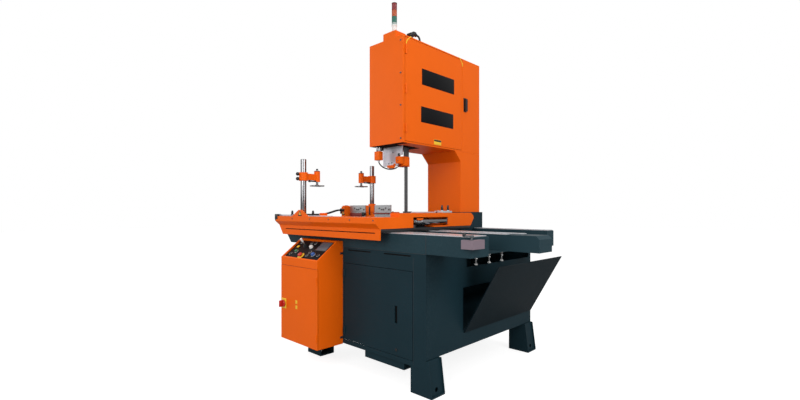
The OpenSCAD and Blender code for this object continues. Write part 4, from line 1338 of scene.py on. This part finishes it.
@dataclass
class BladeGuide:
    """The upper blade guide's blocks, bolts, knobs and coolant hose."""

    plate_y: float = -338.0
    blade_y: float = -218.1

    def build(self) -> None:
        """Build the guide's pieces."""
        self.build_blocks()
        self.build_bolts()
        self.build_coolant()

    def build_blocks(self) -> None:
        """Build the orange blocks, the slide bar and the blade's cover."""
        y = self.blade_y
        blocks = Shape("guide_block_castings")
        blocks.block((-60, -268, 1624), (-2.5, y + 22, 1704), 2.5, 3)
        blocks.block((2.5, -262, 1624), (22, y + 22, 1704), 2.5, 3)
        blocks.block((17.5, -300, 1626), (48, y - 8, 1704), 2.5, 3)
        blocks.block((-150, -450, 1672), (-90, -405, 1745), 3, 3)
        blocks.block((-92, self.plate_y - 18, 1612), (-20, self.plate_y, 1632), 2.5, 3)
        blocks.block((-64, self.plate_y - 26, 1604), (-14, self.plate_y - 6, 1620), 2.5, 3)
        blocks.block((-22, self.plate_y - 14, 1612), (-8, self.plate_y, 1644), 2.5, 3)
        blocks.block((2, self.plate_y - 12, 1646), (20, self.plate_y, 1700), 2.5, 3)
        blocks.block((17.5, self.plate_y - 14, 1640), (48, -290, 1700), 2.5, 3)
        blocks.piece("blade_guide", ORANGE, "orange_paint", replaces=("guide_blocks",))
        steel = Shape("guide_slide_bars")
        steel.rod((-136, -428, 1744), 62, 10, edge=1, steps=24)
        steel.rod((-106, -428, 1744), 50, 8, edge=1, steps=24)
        steel.piece("blade_guide", CHROME, "machined_steel")
        cover = Shape("blade_cover")
        cover.block((12, y - 44, 1704), (17, y + 18, 1786), 1)
        cover.block((-17, y + 12, 1704), (17, y + 17, 1786), 1)
        cover.piece("blade_guide", CAST, "machined_steel")

    def build_bolts(self) -> None:
        """Build the bolts and clamp knobs."""
        bolts = Shape("guide_bolts")
        for x, z in ((-88, 1648), (-52, 1652), (-40, 1740)):
            bolts.socket_screw((x, self.plate_y, z), 5.5, Axis.Y, -1)
        for x, z in ((-15, 1624), (32, 1664)):
            bolts.socket_screw((x, self.plate_y - 14, z), 5, Axis.Y, -1)
        bolts.piece("blade_guide", CAST, "machined_steel")
        knobs = Shape("guide_knobs")
        ball_knob(knobs, (-44, -262, 1704), 15, Axis.Z)
        ball_knob(knobs, (30, self.plate_y + 4, 1700), 12.5, Axis.Z)
        knobs.block((-118, -428, 1750), (-84, -400, 1782), 5, 3)
        knobs.piece("blade_guide", BLACK, "black_plastic")

    def build_coolant(self) -> None:
        """Build the coolant hose, which is held at both ends, and its fittings."""
        route = [(-118, -428, 1674), (-116, -428, 1656), (-106, -424, 1636), (-88, -412, 1616),
                 (-66, -394, 1602), (-44, -374, 1596), (-27, -356, 1597), (-15, -344, 1601), (-6, -330, 1609),
                 (-4, -316, 1620), (-4, -306, 1632)]
        hose("coolant_line", route, 5, "blade_guide", RUBBER, ("coolant_hose",))
        ends = Shape("coolant_fittings")
        ends.rod((-117, -428, 1660), 12, 8, steps=20)
        ends.rod((-4, -318, 1614), 12, 7, steps=20)
        ends.piece("blade_guide", SILVER, "machined_steel")


# ---------------------------------------------------------------- studio


@dataclass
class Studio:
    """The camera, floor, backdrop and lights."""

    eye: Point = (2.536, -2.919, 1.25)
    azimuth: float = 44.0
    lens: float = 19.44
    shift_y: float = 0.0131
    sky: float = 0.5

    def build_camera(self) -> None:
        """Build the level camera."""
        data = bpy.data.cameras.new("camera")
        data.lens, data.sensor_width, data.shift_y = self.lens, 36.0, self.shift_y
        data.clip_end = 100.0
        camera = bpy.data.objects.new("camera", data)
        camera.location = self.eye
        camera.rotation_euler = (math.pi / 2, 0.0, math.radians(self.azimuth))
        bpy.context.scene.collection.objects.link(camera)
        bpy.context.scene.camera = camera

    def build_stage(self) -> None:
        """Build the pale floor."""
        shape = Shape("studio_floor")
        bmesh.ops.create_grid(shape.mesh, x_segments=1, y_segments=1, size=30000.0)
        bmesh.ops.scale(shape.mesh, verts=shape.mesh.verts, vec=(MM, MM, MM))
        data = bpy.data.meshes.new("studio_floor")
        shape.mesh.to_mesh(data)
        shape.mesh.free()
        floor = bpy.data.objects.new("studio_floor", data)
        bpy.context.scene.collection.objects.link(floor)
        data.materials.append(FLOOR.build())

    def build_lights(self) -> None:
        """Build the soft key, fill and top lights and the pale surroundings."""
        for name, place, aim, size, power in (
                ("key", (1.6, -5.4, 3.4), (0, -0.2, 1.4), 3.0, 100),
                ("low_key", (1.0, -5.6, 1.5), (0, -0.2, 1.2), 2.0, 36),
                ("left_fill", (-4.6, -4.0, 3.0), (0, -0.3, 1.2), 3.5, 45),
                ("right_fill", (5.4, -0.6, 4.2), (0, 0.2, 1.8), 2.6, 108),
                ("low_right", (5.6, -0.9, 1.4), (0, 0.0, 1.0), 2.0, 44),
                ("top", (0.5, 0.2, 6.0), (0, 0, 1.0), 4.0, 110)):
            data = bpy.data.lights.new(name, "AREA")
            data.size, data.energy = size, power
            light = bpy.data.objects.new(name, data)
            light.location = place
            light.rotation_euler = (Vector(aim) - Vector(place)).to_track_quat("-Z", "Y").to_euler()
            bpy.context.scene.collection.objects.link(light)
        world = bpy.data.worlds.new("pale_surroundings")
        bpy.context.scene.world = world
        world.use_nodes = True
        tree = world.node_tree
        sky = next(n for n in tree.nodes if n.type == "BACKGROUND")
        sky.inputs["Color"].default_value = (1.0, 1.0, 1.0, 1.0)
        seen, level = tree.nodes.new("ShaderNodeLightPath"), tree.nodes.new("ShaderNodeMapRange")
        level.inputs["To Min"].default_value = self.sky
        tree.links.new(seen.outputs["Is Camera Ray"], level.inputs["Value"])
        tree.links.new(level.outputs["Result"], sky.inputs["Strength"])
        bpy.context.scene.view_settings.view_transform = "Standard"


def main() -> None:
    """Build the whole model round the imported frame."""
    logging.basicConfig(level=logging.INFO, format="%(name)s %(message)s")
    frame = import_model()
    studio = Studio()
    studio.build_camera()
    CARRIED.build(frame["nodes"])
    for assembly in (Base(), Bed(), Vise(), SideBeam(), HoldDowns(), Cabinet(), SawFrame(), BladeGuide()):
        assembly.build()
        LOG.info("built %s", type(assembly).__name__)
    studio.build_stage()
    studio.build_lights()


if __name__ == "__main__":
    main()
